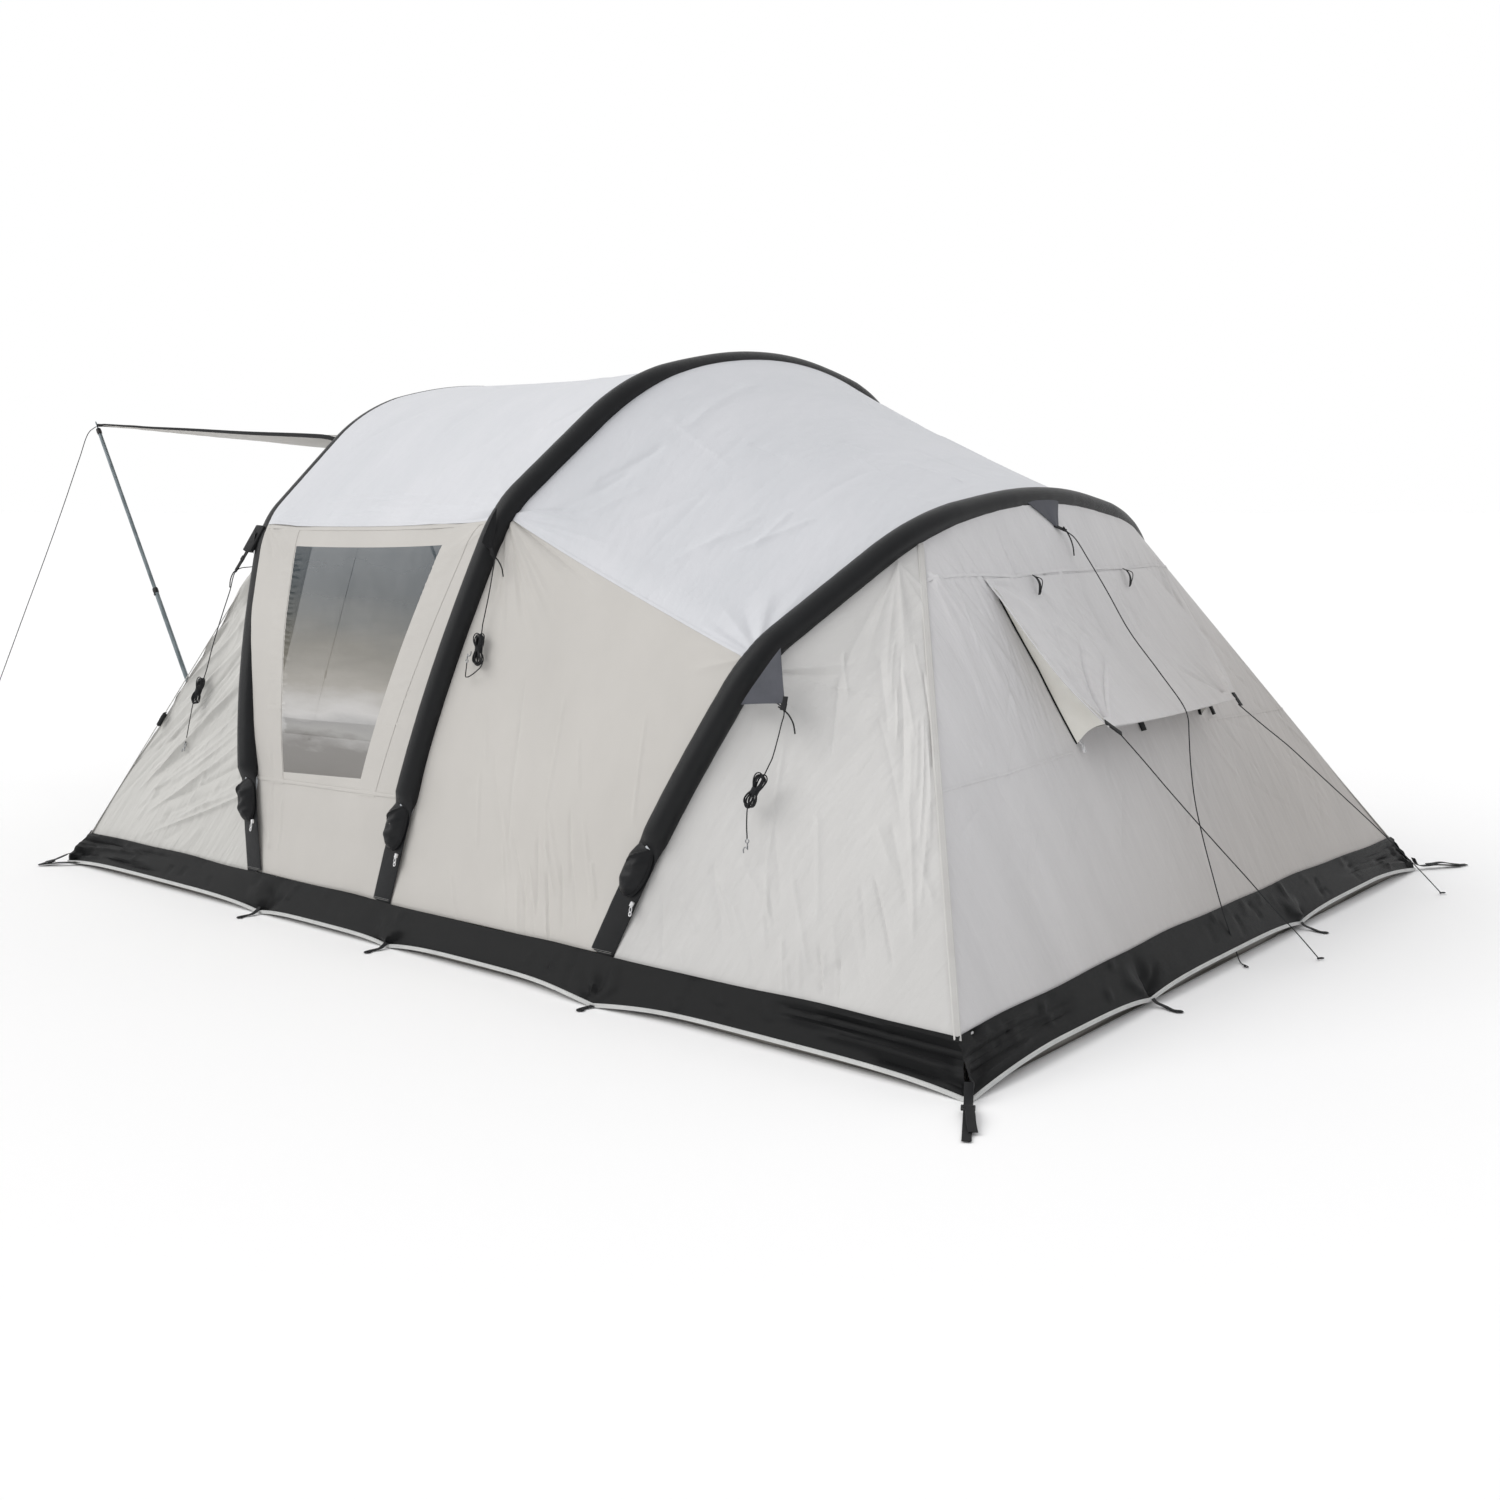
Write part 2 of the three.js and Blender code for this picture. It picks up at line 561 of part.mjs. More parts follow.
// Hanging inner tent in the rear half: a tunnel of light cloth and its front wall with a doorway
function makeInnerTent() {
  const inset = 150;
  const last = archStations(ARCHES.middle).length - 1;
  const edge = (arch, side, share) => archStations(arch).map((s, k) => {
    const point = archPoint(arch, s, inset, side * SLEEVE_CLEAR);
    if (k === 0 || k === last) point.z = FLOOR_T + 6;
    return point;
  });
  const front = edge(ARCHES.middle, 1);
  const rear = edge(ARCHES.rear, -1);
  const start = 0.12;
  const grid = front.map((p, i) => [start, 0.55, 0.97].map((t) => lerp(p, rear[i], t)));
  add('inner_tent', sheet(grid), 'inner');
  const hem = grid.map((row) => row[0].clone().sub(v(3 * SEAM_GAP, 0, 0)));
  const rise = 12;
  const rows = [0, 0.5, 1];
  const wallGrid = hem.map((p) => {
    const floorPoint = v(hem[0].x, p.y, FLOOR_T + 6);
    const roofPoint = p.clone();
    if (Math.abs(p.z - floorPoint.z) < rise) roofPoint.z = floorPoint.z + rise;
    return rows.map((t) => lerp(floorPoint, roofPoint, t));
  });
  const partition = toSolid(sheet(wallGrid));
  const doorway = [[-700, 80], [700, 80], [620, 1450], [400, 1640], [-400, 1640], [-620, 1450]];
  const hole = toSolid(prismAlongX(doorway, -HALF_L / 3, HALF_L / 3));
  add('inner_partition', toGeometry(partition.subtract(hole)), 'inner');
}

// Cords: tubes along hand-chosen routes, and the folded hanks on them
const octagon = (radius) => {
  const points = [];
  for (let k = 0; k < 8; k += 1) {
    const angle = (Math.PI * k) / 4;
    points.push(new THREE.Vector2(radius * Math.cos(angle), radius * Math.sin(angle)));
  }
  return new THREE.Shape(points);
};

function cordTube(name, route, steps) {
  const path = new THREE.CatmullRomCurve3(route.map(([x, y, z]) => v(x, y, z)), false, 'centripetal');
  const tube = new THREE.ExtrudeGeometry(octagon(GUY_D / 2), { steps, extrudePath: path, bevelEnabled: false });
  add(name, tube, 'cord');
}

// A flat bundle with round ends; its long axis runs from one point to another.
function hank(name, from, to, outward) {
  const shape = new THREE.Shape();
  const half = HANK.run / 2;
  const radius = HANK.width / 2;
  shape.absarc(half, 0, radius, -Math.PI / 2, Math.PI / 2, false);
  shape.absarc(-half, 0, radius, Math.PI / 2, 1.5 * Math.PI, false);
  const geometry = new THREE.ExtrudeGeometry(shape, { depth: HANK.thick, bevelEnabled: false, curveSegments: 6 });
  geometry.translate(0, 0, -HANK.thick / 2);
  const start = v(...from);
  const along = v(...to).sub(start).normalize();
  const out = v(...outward);
  out.addScaledVector(along, -out.dot(along)).normalize();
  const across = out.clone().cross(along);
  const middle = v(...from).add(v(...to)).multiplyScalar(0.5);
  geometry.applyMatrix4(new THREE.Matrix4().makeBasis(along, across, out).setPosition(middle));
  add(name, geometry, 'cord');
}

const WALL_OUT = [0, -0.96, 0.26];
const GUYS = {
  front: {
    line: [[-1440, -1416, 1262], [-1466, -1432, 1180], [-1496, -1455, 1080], [-1528, -1482, 960], [-1551, -1502, 858]],
    hank: [[-1556, -1514, 836], [-1590, -1546, 714]],
  },
  middle: {
    line: [[100, -1408, 1352], [104, -1424, 1290], [103, -1440, 1225], [101, -1458, 1160], [100, -1470, 1120]],
    hank: [[98, -1480, 1098], [116, -1513, 976]],
  },
  rear: {
    line: [[1404, -1446, 926], [1403, -1458, 880], [1399, -1473, 830], [1393, -1488, 782], [1388, -1494, 766]],
    hank: [[1380, -1507, 742], [1336, -1542, 632]],
  },
};

const LINES = {
  rear_crown_line: [
    [1550, -14, 1436], [1580, -10, 1414], [1640, -4, 1330], [1706, 6, 1228], [1790, 18, 1092], [1900, 30, 958],
    [1996, 38, 838], [2012, 38, 800], [2020, 34, 740], [2034, 26, 640], [2062, 10, 520], [2104, -8, 400],
    [2148, -24, 290], [2192, -36, 180], [2228, -44, 100], [2256, -50, 40], [2278, -64, 6], [2310, -96, 4],
  ],
  flap_guy_near: [
    [2003, -462, 806], [2058, -392, 712], [2112, -316, 612], [2172, -238, 508],
    [2235, -158, 402], [2300, -76, 294], [2364, 6, 184], [2420, 80, 92], [2470, 142, 6],
  ],
  flap_guy_far: [
    [2003, 484, 806], [2056, 592, 722], [2112, 702, 638], [2176, 816, 536],
    [2242, 932, 432], [2308, 1050, 326], [2372, 1168, 218], [2434, 1280, 112], [2492, 1386, 6],
  ],
};
const POLE_GUY = [
  [-3372, -926, 1915], [-3470, -938, 1752], [-3620, -958, 1514], [-3780, -984, 1260], [-3940, -1015, 1004],
  [-4100, -1046, 746], [-4260, -1077, 488], [-4400, -1104, 260], [-4490, -1121, 110], [-4550, -1133, 5],
];

function makeCords() {
  for (const [name, guy] of Object.entries(GUYS)) {
    cordTube(`guy_${name}_line`, guy.line, 10);
    hank(`guy_${name}_hank`, guy.hank[0], guy.hank[1], WALL_OUT);
  }
  cordTube('rear_crown_line', LINES.rear_crown_line, 30);
  cordTube('flap_guy_near', LINES.flap_guy_near, 8);
  cordTube('flap_guy_far', LINES.flap_guy_far, 8);
  cordTube('pole_guy_near', POLE_GUY, 9);
  cordTube('pole_guy_far', POLE_GUY.map(([x, y, z]) => [x, -y, z]), 9);
}

// Webbing straps that peg the rear corners
function makeStraps() {
  const width = 25;
  for (const [side, sign] of [['near', -1], ['far', 1]]) {
    const run = [[HALF_L + 3, HALF_W + 4, 14], [HALF_L + 60, HALF_W + 96, 6], [HALF_L + 152, HALF_W + 250, 2]];
    const across = v(1, -sign * 0.62, 0).normalize().multiplyScalar(width / 2);
    const grid = run.map(([x, y, z]) => {
      const middle = v(x, sign * y, z);
      return [middle.clone().sub(across), middle.clone().add(across)];
    });
    if (sign > 0) grid.reverse();
    add(`corner_strap_${side}`, sheet(grid, 2), 'black');
  }
}

makeBase();
makeBeams();
makeCanvas();
makeRear();
makeFront();
makePoles();
makeValves();
makeInnerTent();
makeCords();
makeStraps();

export default tent;
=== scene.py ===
import math

import bpy
import numpy as np
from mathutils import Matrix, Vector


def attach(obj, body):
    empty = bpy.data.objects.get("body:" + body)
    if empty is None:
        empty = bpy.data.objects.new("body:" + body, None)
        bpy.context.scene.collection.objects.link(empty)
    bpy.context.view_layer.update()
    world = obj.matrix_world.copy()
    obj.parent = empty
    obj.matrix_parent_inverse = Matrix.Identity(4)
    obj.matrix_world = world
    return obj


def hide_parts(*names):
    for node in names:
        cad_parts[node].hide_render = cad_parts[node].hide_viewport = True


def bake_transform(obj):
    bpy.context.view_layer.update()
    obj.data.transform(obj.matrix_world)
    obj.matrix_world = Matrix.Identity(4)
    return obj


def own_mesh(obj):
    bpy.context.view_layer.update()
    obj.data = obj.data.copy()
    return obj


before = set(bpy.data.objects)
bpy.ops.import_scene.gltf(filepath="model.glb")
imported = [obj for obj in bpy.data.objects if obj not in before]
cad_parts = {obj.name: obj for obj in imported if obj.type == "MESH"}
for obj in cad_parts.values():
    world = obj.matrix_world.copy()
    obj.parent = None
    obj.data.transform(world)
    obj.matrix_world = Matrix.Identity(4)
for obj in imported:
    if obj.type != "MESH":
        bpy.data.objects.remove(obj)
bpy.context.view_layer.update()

# ---------------------------------------------------------------- measures, in metres, in the CAD frame
# Each arch leans in x as it rises; its knee, shoulder and crown are (y, z) in its own plane. The air pressure bows
# its legs out by bow, and the roof's pull settles its crown by settle.
ARCHES = {
    "front": {"foot_x": -0.995, "lean": -0.245, "knee": (1.333, 1.434), "shoulder": (0.752, 1.889), "crown": 2.033,
              "bow": 0.058, "settle": 0.012},
    "middle": {"foot_x": -0.224, "lean": 0.206, "knee": (1.327, 1.504), "shoulder": (0.789, 1.952), "crown": 2.105,
               "bow": 0.046, "settle": 0.020},
    "rear": {"foot_x": 0.868, "lean": 0.399, "knee": (1.384, 1.068), "shoulder": (0.737, 1.463), "crown": 1.573,
             "bow": 0.036, "settle": 0.026},
}
HALF_L, HALF_W = 2.257, 1.75
WALL_X, WALL_Y, WALL_Z = 2.186, 1.692, 0.130
FOOT_Y = 1.686
SLEEVE_R, TUBE_R = 0.045, 0.036
DOOR_HALF = 0.905
DOOR_TOP = (-1.468, 0.917, 1.705)
CANOPY_HINGE, CANOPY_EDGE = (-1.512, 1.812), (-3.322, 1.911)
CANOPY_HALVES = (0.884, 0.915)
SIDE_WINDOW = ((-0.888, 0.521), (-0.429, 0.542), (-0.247, 1.385), (-1.071, 1.367))
REAR_WINDOW = ((-0.455, 0.790), (0.455, 0.790), (0.505, 1.215), (-0.505, 1.215))
FLAP_BOTTOM = (1.989, 0.820)
FLAP_HALVES = (0.582, 0.498)
GUY_D = 0.004
Z_UP = np.array([0.0, 0.0, 1.0])
# Things are drawn on the near side and mirrored by this factor of y
MIRRORS = (("near", 1), ("far", -1))
# The sign of y on each side
Y_SIGNS = (("near", -1), ("far", 1))


def rgb(*levels):
    """A colour of 0 to 255 levels as linear light."""
    return tuple(c / 12.92 if c <= 0.04045 else ((c + 0.055) / 1.055) ** 2.4 for c in np.array(levels) / 255) + (1.0,)


def smooth(t):
    t = np.clip(t, 0, 1)
    return t * t * (3 - 2 * t)


def unit(v):
    v = np.asarray(v, float)
    return v / np.maximum(np.linalg.norm(v, axis=-1, keepdims=True), 1e-12)


def lerp(a, b, t):
    return np.asarray(a, float) * (1 - t) + np.asarray(b, float) * t


# ---------------------------------------------------------------- materials
def set_inputs(tree, node, values):
    """Each input takes a number or another node's output."""
    for name, value in values.items():
        if isinstance(value, bpy.types.NodeSocket):
            tree.links.new(value, node.inputs[name])
        else:
            node.inputs[name].default_value = value


def add_node(tree, kind, output, inputs=None, **settings):
    """Adds a node with its settings and inputs, and returns its output."""
    node = tree.nodes.new("ShaderNode" + kind)
    for name, value in settings.items():
        setattr(node, name, value)
    set_inputs(tree, node, inputs or {})
    return node.outputs[output]


def add_ramp(tree, factor, stops):
    """A colour ramp through (position, colour) stops."""
    ramp = tree.nodes.new("ShaderNodeValToRGB")
    shades = ramp.color_ramp.elements
    for shade, (position, color) in zip((shades[0], shades[1]), (stops[0], stops[-1])):
        shade.position, shade.color = position, color
    for position, color in stops[1:-1]:
        shades.new(position).color = color
    tree.links.new(factor, ramp.inputs["Fac"])
    return ramp.outputs["Color"]


def add_bump(tree, height, strength, distance, under=None):
    inputs = {"Height": height, "Strength": strength, "Distance": distance}
    if under is not None:
        inputs["Normal"] = under
    return add_node(tree, "Bump", "Normal", inputs)


def new_material(name):
    mat = bpy.data.materials.new(name)
    mat.use_nodes = True
    return mat, mat.node_tree, mat.node_tree.nodes["Principled BSDF"]


ROUGH_VARY = 0.08
WEAVE_DEPTH = 0.0006
# How far apart the wave texture's waves are at scale 1, in metres
WAVE_PERIOD = 0.314


def material(name, color, dark, rough=0.6, metal=0.0, blotch=3.0, weave=0.0, weave_mm=1.4, grain=0.0,
             grain_scale=60.0,
             crinkle=0.004, stretch=(1, 1, 1), turn=None, fade=None, sheen=0.0, coat=0.0, specular=None):
    """Blotched colour and roughness, with painted shade along a direction where fade is given, and bump from a coarse
    grain of crinkle's height and from a fine weave.
    """
    mat, tree, shader = new_material(name)
    place = add_node(tree, "TexCoord", "Object")
    if turn is None:
        mapped = add_node(tree, "Mapping", "Vector", {"Vector": place, "Scale": stretch})
    else:
        # Turned first, then stretched, so that streaks can run at a slant
        mapped = add_node(tree, "Mapping", "Vector", {"Vector": place,
                                                      "Rotation": [math.radians(angle) for angle in turn],
                                                      "Scale": [1 / share for share in stretch]}, vector_type="TEXTURE")
    broad = add_node(tree, "TexNoise", "Fac", {"Vector": mapped, "Scale": blotch, "Detail": 4, "Roughness": 0.6})
    shade = add_ramp(tree, broad, [(0.3, rgb(*dark)), (0.7, rgb(*color))])
    if fade:
        # Painted shade: the colour is multiplied by a darker tint along a direction, where the cloth lies in shade
        direction, start, end, shade_tint = fade
        along = add_node(tree, "VectorMath", "Value", {0: place, 1: direction}, operation="DOT_PRODUCT")
        share = add_node(tree, "MapRange", "Result", {"Value": along, "From Min": start, "From Max": end},
                         interpolation_type="SMOOTHSTEP")
        shade = add_node(tree, "Mix", "Result", {"Factor": share, "A": shade, "B": (*shade_tint, 1)},
                         data_type="RGBA", blend_type="MULTIPLY")
    spread = add_node(tree, "MapRange", "Result", {"Value": broad, "To Min": max(0.02, rough - ROUGH_VARY),
                                                   "To Max": min(1.0, rough + ROUGH_VARY)})
    finish = {"Base Color": shade, "Metallic": metal, "Roughness": spread}
    if sheen:
        finish.update({"Sheen Weight": sheen, "Sheen Roughness": 0.4})
    if coat:
        finish.update({"Coat Weight": coat, "Coat Roughness": 0.25})
    if specular is not None:
        finish["Specular IOR Level"] = specular
    normal = None
    if grain:
        noise = add_node(tree, "TexNoise", "Fac", {"Vector": mapped, "Scale": grain_scale, "Detail": 3})
        normal = add_bump(tree, noise, grain, crinkle)
    if weave:
        # Threads run both ways at 45 degrees to the wall's foot
        tilted = add_node(tree, "Mapping", "Vector", {"Vector": place, "Rotation": (math.radians(45), 0, 0)})
        threads = {"Vector": tilted, "Scale": WAVE_PERIOD / (weave_mm / 1000), "Distortion": 0.6, "Detail": 1}
        waves = [add_node(tree, "TexWave", "Fac", threads, bands_direction=axis) for axis in ("X", "Z")]
        crossed = add_node(tree, "Math", "Value", dict(enumerate(waves)), operation="MULTIPLY")
        normal = add_bump(tree, crossed, weave, WEAVE_DEPTH, normal)
    if normal is not None:
        finish["Normal"] = normal
    set_inputs(tree, shader, finish)
    return mat


# Painted light in the window film's colour, from its lower edge to its upper one: the shaded floor and far wall seen
# through it, then painted reflections of bright sky and dark sky
FILM_HEIGHTS = (0.575, 1.425)
FILM_PAINTED_LIGHT = [(0.0, (104, 101, 96)), (0.14, (112, 109, 105)), (0.20, (168, 167, 165)), (0.25, (160, 159, 158)),
               (0.30, (186, 184, 182)), (0.42, (146, 142, 134)), (0.56, (112, 109, 100)), (0.70, (78, 80, 77)),
               (0.84, (52, 60, 64)), (1.0, (62, 70, 75))]


def film(name):
    """Clear window film, whose painted reflections and painted shade in its colour change with height and waver along
    slanting streaks.
    """
    mat, tree, shader = new_material(name)
    place = add_node(tree, "TexCoord", "Object")
    slanted = add_node(tree, "Mapping", "Vector", {"Vector": place, "Scale": (2.2, 1.0, 9.0),
                                                   "Rotation": (0, math.radians(24), 0)})
    streak = add_node(tree, "TexNoise", "Fac", {"Vector": slanted, "Scale": 1.6, "Detail": 5})
    height = add_node(tree, "SeparateXYZ", "Z", {"Vector": place})
    wavering = add_node(tree, "Math", "Value", {0: streak, 1: 0.13, 2: height}, operation="MULTIPLY_ADD")
    level = add_node(tree, "MapRange", "Result", {"Value": wavering, "From Min": FILM_HEIGHTS[0],
                                                  "From Max": FILM_HEIGHTS[1]})
    ripple = add_node(tree, "TexNoise", "Fac", {"Vector": place, "Scale": 8})
    # The base colour paints light: the shaded view through the film and its reflections
    set_inputs(tree, shader, {
        "Base Color": add_ramp(tree, level, [(position, rgb(*color)) for position, color in FILM_PAINTED_LIGHT]),
        "Roughness": 0.2, "Specular IOR Level": 0.2, "Alpha": 0.89, "Normal": add_bump(tree, ripple, 0.25, 0.01)})
    return mat


def canvas(name, color, dark, rough=0.62, grain_scale=7, **facts):
    return material(name, color, dark, rough, weave=0.25, sheen=0.08, grain_scale=grain_scale, **facts)


MATS = {
    "roof": canvas("roof_canvas", (213, 214, 218), (206, 208, 212), 0.6, 9, grain=0.5, crinkle=0.007,
                   stretch=(2.6, 1.0, 0.8), blotch=1.3),
    "wall": canvas("wall_canvas", (197, 194, 189), (190, 187, 182), grain=0.4, crinkle=0.006, stretch=(1.6, 1.0, 0.9),
                   blotch=1.5),
    "corner": canvas("corner_canvas", (199, 198, 194), (191, 190, 186), 0.6, grain=0.75, crinkle=0.010,
                     stretch=(0.7, 1.2, 5.0), turn=(0, -56, 0), blotch=1.4),
    # The wing's fade is painted shade: its colour darkens towards its foot.
    "wing": canvas("wing_canvas", (213, 212, 210), (205, 204, 202), grain=0.6, crinkle=0.008, stretch=(4.0, 1.2, 0.9),
                   turn=(0, 20, 0), fade=((0.0, 0.0, -1.0), -0.95, -0.15, (0.87, 0.87, 0.87)), blotch=1.4),
    # The rear canvas's fade is painted shade: its colour darkens and warms towards the far side and the foot.
    "rear": canvas("rear_canvas", (219, 218, 219), (210, 209, 210), grain=0.75, crinkle=0.009,
                   stretch=(1.0, 4.6, 0.8),
                   fade=((0.0, 0.30, -0.42), -0.75, 0.15, (0.73, 0.70, 0.66)), blotch=1.4),
    "tape": material("seam_tape", (208, 207, 204), (200, 198, 195), weave=0.2, grain=0.2, grain_scale=40, blotch=6),
    "sleeve": material("sleeve_cloth", (23, 24, 26), (17, 18, 20), 0.42, weave=0.35, grain=0.2, grain_scale=22,
                       blotch=7,
                       specular=0.27),
    "mud": material("mud_flap_cloth", (15, 16, 17), (10, 11, 12), 0.48, weave=0.3, grain=0.35, grain_scale=14,
                    blotch=5,
                    specular=0.16),
    "gusset": material("gusset_cloth", (78, 80, 88), (66, 68, 75), weave=0.5, grain=0.4, grain_scale=30, blotch=12),
    "webbing": material("black_webbing", (24, 25, 27), (17, 18, 20), specular=0.3, weave=0.9, weave_mm=2.4,
                        blotch=30),
    "film": film("window_film"),
    "piping": material("grey_piping", (205, 206, 204), (192, 193, 192), 0.55, weave=0.3, blotch=20),
    "floor": material("groundsheet_sheet", (126, 123, 118), (112, 109, 105), weave=0.6, weave_mm=3, grain=0.3,
                      grain_scale=20, blotch=6),
    "inner": material("inner_tent_cloth", (229, 223, 208), (221, 214, 198), 0.8, weave=0.3, grain=0.3, grain_scale=12,
                      sheen=0.2, blotch=4),
    "lining": material("cream_lining", (244, 243, 237), (236, 234, 226), 0.75, weave=0.3, grain=0.35, grain_scale=24,
                       blotch=6),
    "tpu": material("air_tube_skin", (204, 208, 212), (192, 197, 202), 0.35, grain=0.15, grain_scale=25, blotch=8,
                    coat=0.2),
    "steel": material("pole_steel_brushed", (150, 160, 164), (118, 128, 132), 0.34, metal=0.9, blotch=40,
                      stretch=(1, 1, 0.1), grain=0.1, grain_scale=200),
    "bright": material("nickel_metal", (236, 236, 236), (205, 205, 207), 0.3, metal=0.55, blotch=90, grain=0.15,
                       grain_scale=300),
    "hook": material("hook_metal", (176, 178, 180), (120, 122, 124), 0.3, metal=0.85, blotch=120, grain=0.15,
                     grain_scale=300),
    "plastic": material("moulded_plastic", (26, 27, 29), (20, 21, 23), 0.42, grain=0.35, grain_scale=500, blotch=60),
    "cord": material("braided_cord", (34, 35, 38), (20, 21, 23), 0.75, weave=1.0, weave_mm=2.2, blotch=160),
    "white": material("light_thread", (150, 150, 148), (130, 130, 128), 0.7, grain=0.3, grain_scale=300, blotch=80),
}


# ---------------------------------------------------------------- mesh building
def spread(rows, cols):
    """Two grids of values, from (start, end, count) down and across."""
    return np.meshgrid(np.linspace(*rows), np.linspace(*cols), indexing="ij")


def grid_part(points, thickness=0.0, hole=None, flip=False):
    """Vertices and faces of a sheet from a grid of points, closed to a thin solid where it has a thickness."""
    rows, cols = points.shape[:2]
    index = np.arange(rows * cols).reshape(rows, cols)
    quads = np.stack([index[:-1, :-1], index[:-1, 1:], index[1:, 1:], index[1:, :-1]], axis=-1)
    if hole is not None:
        (r0, r1), (c0, c1) = hole
        keep = np.ones(quads.shape[:2], bool)
        keep[r0:r1, c0:c1] = False
        quads = quads[keep]
    quads = quads.reshape(-1, 4)
    if flip:
        quads = quads[:, ::-1]
    flat = points.reshape(-1, 3)
    if not thickness:
        return flat, quads
    normals = grid_normals(points).reshape(-1, 3) * (-1 if flip else 1)
    verts = np.concatenate([flat + normals * thickness / 2, flat - normals * thickness / 2])
    ring = np.concatenate([index[0, :-1], index[:-1, -1], index[-1, :0:-1], index[:0:-1, 0]])
    if flip:
        ring = ring[::-1]
    after, n = np.roll(ring, -1), rows * cols
    rim = np.stack([ring, ring + n, after + n, after], axis=-1)
    return verts, np.concatenate([quads, quads[:, ::-1] + n, rim])


def grid_normals(points):
    down, across = np.gradient(points, axis=0), np.gradient(points, axis=1)
    return unit(np.cross(across, down))


def carried_frames(path):
    """Side and normal carried along a path without twisting."""
    tangent = unit(np.gradient(path, axis=0))
    start = Z_UP if abs(tangent[0][2]) < 0.9 else np.array([1.0, 0, 0])
    side = [unit(np.cross(tangent[0], start))]
    for t in tangent[1:]:
        last = side[-1]
        side.append(unit(last - t * (last @ t)))
    side = np.array(side)
    return side, np.cross(tangent, side)


def ring_faces(ids, closed=False):
    """Quads between rings of vertex numbers, each ring closed on itself."""
    ahead, base = (np.roll(ids, -1, axis=0), ids) if closed else (ids[1:], ids[:-1])
    return np.stack([base, np.roll(base, -1, axis=1), np.roll(ahead, -1, axis=1), ahead], axis=-1).reshape(-1, 4)


def sweep_part(path, outline, side, normal, closed=False, scale=None):
    """A closed outline (across, along the normal) carried along a path."""
    path, outline = np.asarray(path, float), np.asarray(outline, float)
    n, m = len(path), len(outline)
    size = (np.ones(n) if scale is None else scale)[:, None, None]
    verts = (path[:, None] + side[:, None] * outline[None, :, :1] * size
             + normal[:, None] * outline[None, :, 1:] * size).reshape(-1, 3)
    ids = np.arange(n * m).reshape(n, m)
    faces = ring_faces(ids, closed)
    if closed:
        return verts, faces
    caps = []
    for centre, ring in ((n * m, ids[0][::-1]), (n * m + 1, ids[-1])):
        caps.append(np.stack([np.full(m, centre), ring, np.roll(ring, -1), np.roll(ring, -1)], axis=-1))
    return np.concatenate([verts, path[[0, -1]]]), np.concatenate([faces, *caps])


def tube_part(path, radius, sides=8, closed=False, scale=None):
    path = np.asarray(path, float)
    angles = np.arange(sides) * 2 * np.pi / sides
    outline = np.stack([np.cos(angles), np.sin(angles)], axis=-1) * radius
    return sweep_part(path, outline, *carried_frames(path), closed, scale)


def strip_part(path, width, height, up=Z_UP, scale=None):
    """A flat band, such as webbing or seam tape, with its edges turned down."""
    path, w, h = np.asarray(path, float), width / 2, height
    outline = [(-w, 0), (-w * 0.96, h * 0.7), (-w * 0.82, h), (0, h * 0.94), (w * 0.82, h), (w * 0.96, h * 0.7),
               (w, 0),
               (0, -h * 0.05)]
    tangent = unit(np.gradient(path, axis=0))
    side = unit(np.cross(tangent, np.broadcast_to(np.asarray(up, float), path.shape)))
    return sweep_part(path, outline[::-1], side, np.cross(side, tangent), scale=scale)


def block_part(centre, axes, size, round_share=0.25):
    """A box with rounded edges, its three axes given as rows."""
    axes, (a, b, c) = np.asarray(axes, float), np.asarray(size, float) / 2
    r = round_share * min(a, b)
    outline = []
    for sx, sy, turn in ((1, 1, 0), (-1, 1, 90), (-1, -1, 180), (1, -1, 270)):
        for angle in np.radians([turn, turn + 45, turn + 90]):
            outline.append((sx * (a - r) + r * math.cos(angle), sy * (b - r) + r * math.sin(angle)))
    path = np.asarray(centre, float) + axes[2] * np.array([-c, -c + r * 0.6, c - r * 0.6, c])[:, None]
    return sweep_part(path, outline, np.tile(axes[0], (4, 1)), np.tile(axes[1], (4, 1)),
                      scale=np.array([0.86, 1, 1, 0.86]))


def framed_block(centre, out, along, size, round_share=0.25):
    """A block that lies along a direction, its thin side facing out."""
    return block_part(centre, [np.cross(along, out), out, along], size, round_share)


def ellipse(centre, a, b, count=18, span=(0, 2 * np.pi), endpoint=False):
    """Points round a centre from the half axis a towards the half axis b."""
    angles = np.linspace(*span, count, endpoint=endpoint)
    return centre + np.outer(np.cos(angles), a) + np.outer(np.sin(angles), b)


def dense(route, count):
    """Points evenly spaced along a centripetal-like smooth curve through the route."""
    route = np.asarray(route, float)
    ends = np.concatenate([[2 * route[0] - route[1]], route, [2 * route[-1] - route[-2]]])
    knots = np.concatenate([[0], np.cumsum(np.sqrt(np.linalg.norm(np.diff(ends, axis=0), axis=1)))])
    out = []
    for i in range(1, len(ends) - 2):
        p0, p1, p2, p3 = ends[i - 1:i + 3]
        t0, t1, t2, t3 = knots[i - 1:i + 3]
        for t in np.linspace(t1, t2, 12, endpoint=False):
            a1 = lerp(p0, p1, (t - t0) / (t1 - t0))
            a2 = lerp(p1, p2, (t - t1) / (t2 - t1))
            a3 = lerp(p2, p3, (t - t2) / (t3 - t2))
            b1 = lerp(a1, a2, (t - t0) / (t2 - t0))
            b2 = lerp(a2, a3, (t - t1) / (t3 - t1))
            out.append(lerp(b1, b2, (t - t1) / (t2 - t1)))
    out.append(route[-1])
    return resample(np.array(out), count)


def arc_length(points):
    """How far along a line of points each point is."""
    return np.concatenate([[0], np.cumsum(np.linalg.norm(np.diff(points, axis=0), axis=1))])


def along_line(at_values, values, points):
    """Points of a line where one of its measures, values, takes the values asked for."""
    return np.stack([np.interp(at_values, values, points[:, q]) for q in range(3)], axis=-1)


def resample(points, count):
    along = arc_length(points)
    return along_line(np.linspace(0, along[-1], count), along, points)


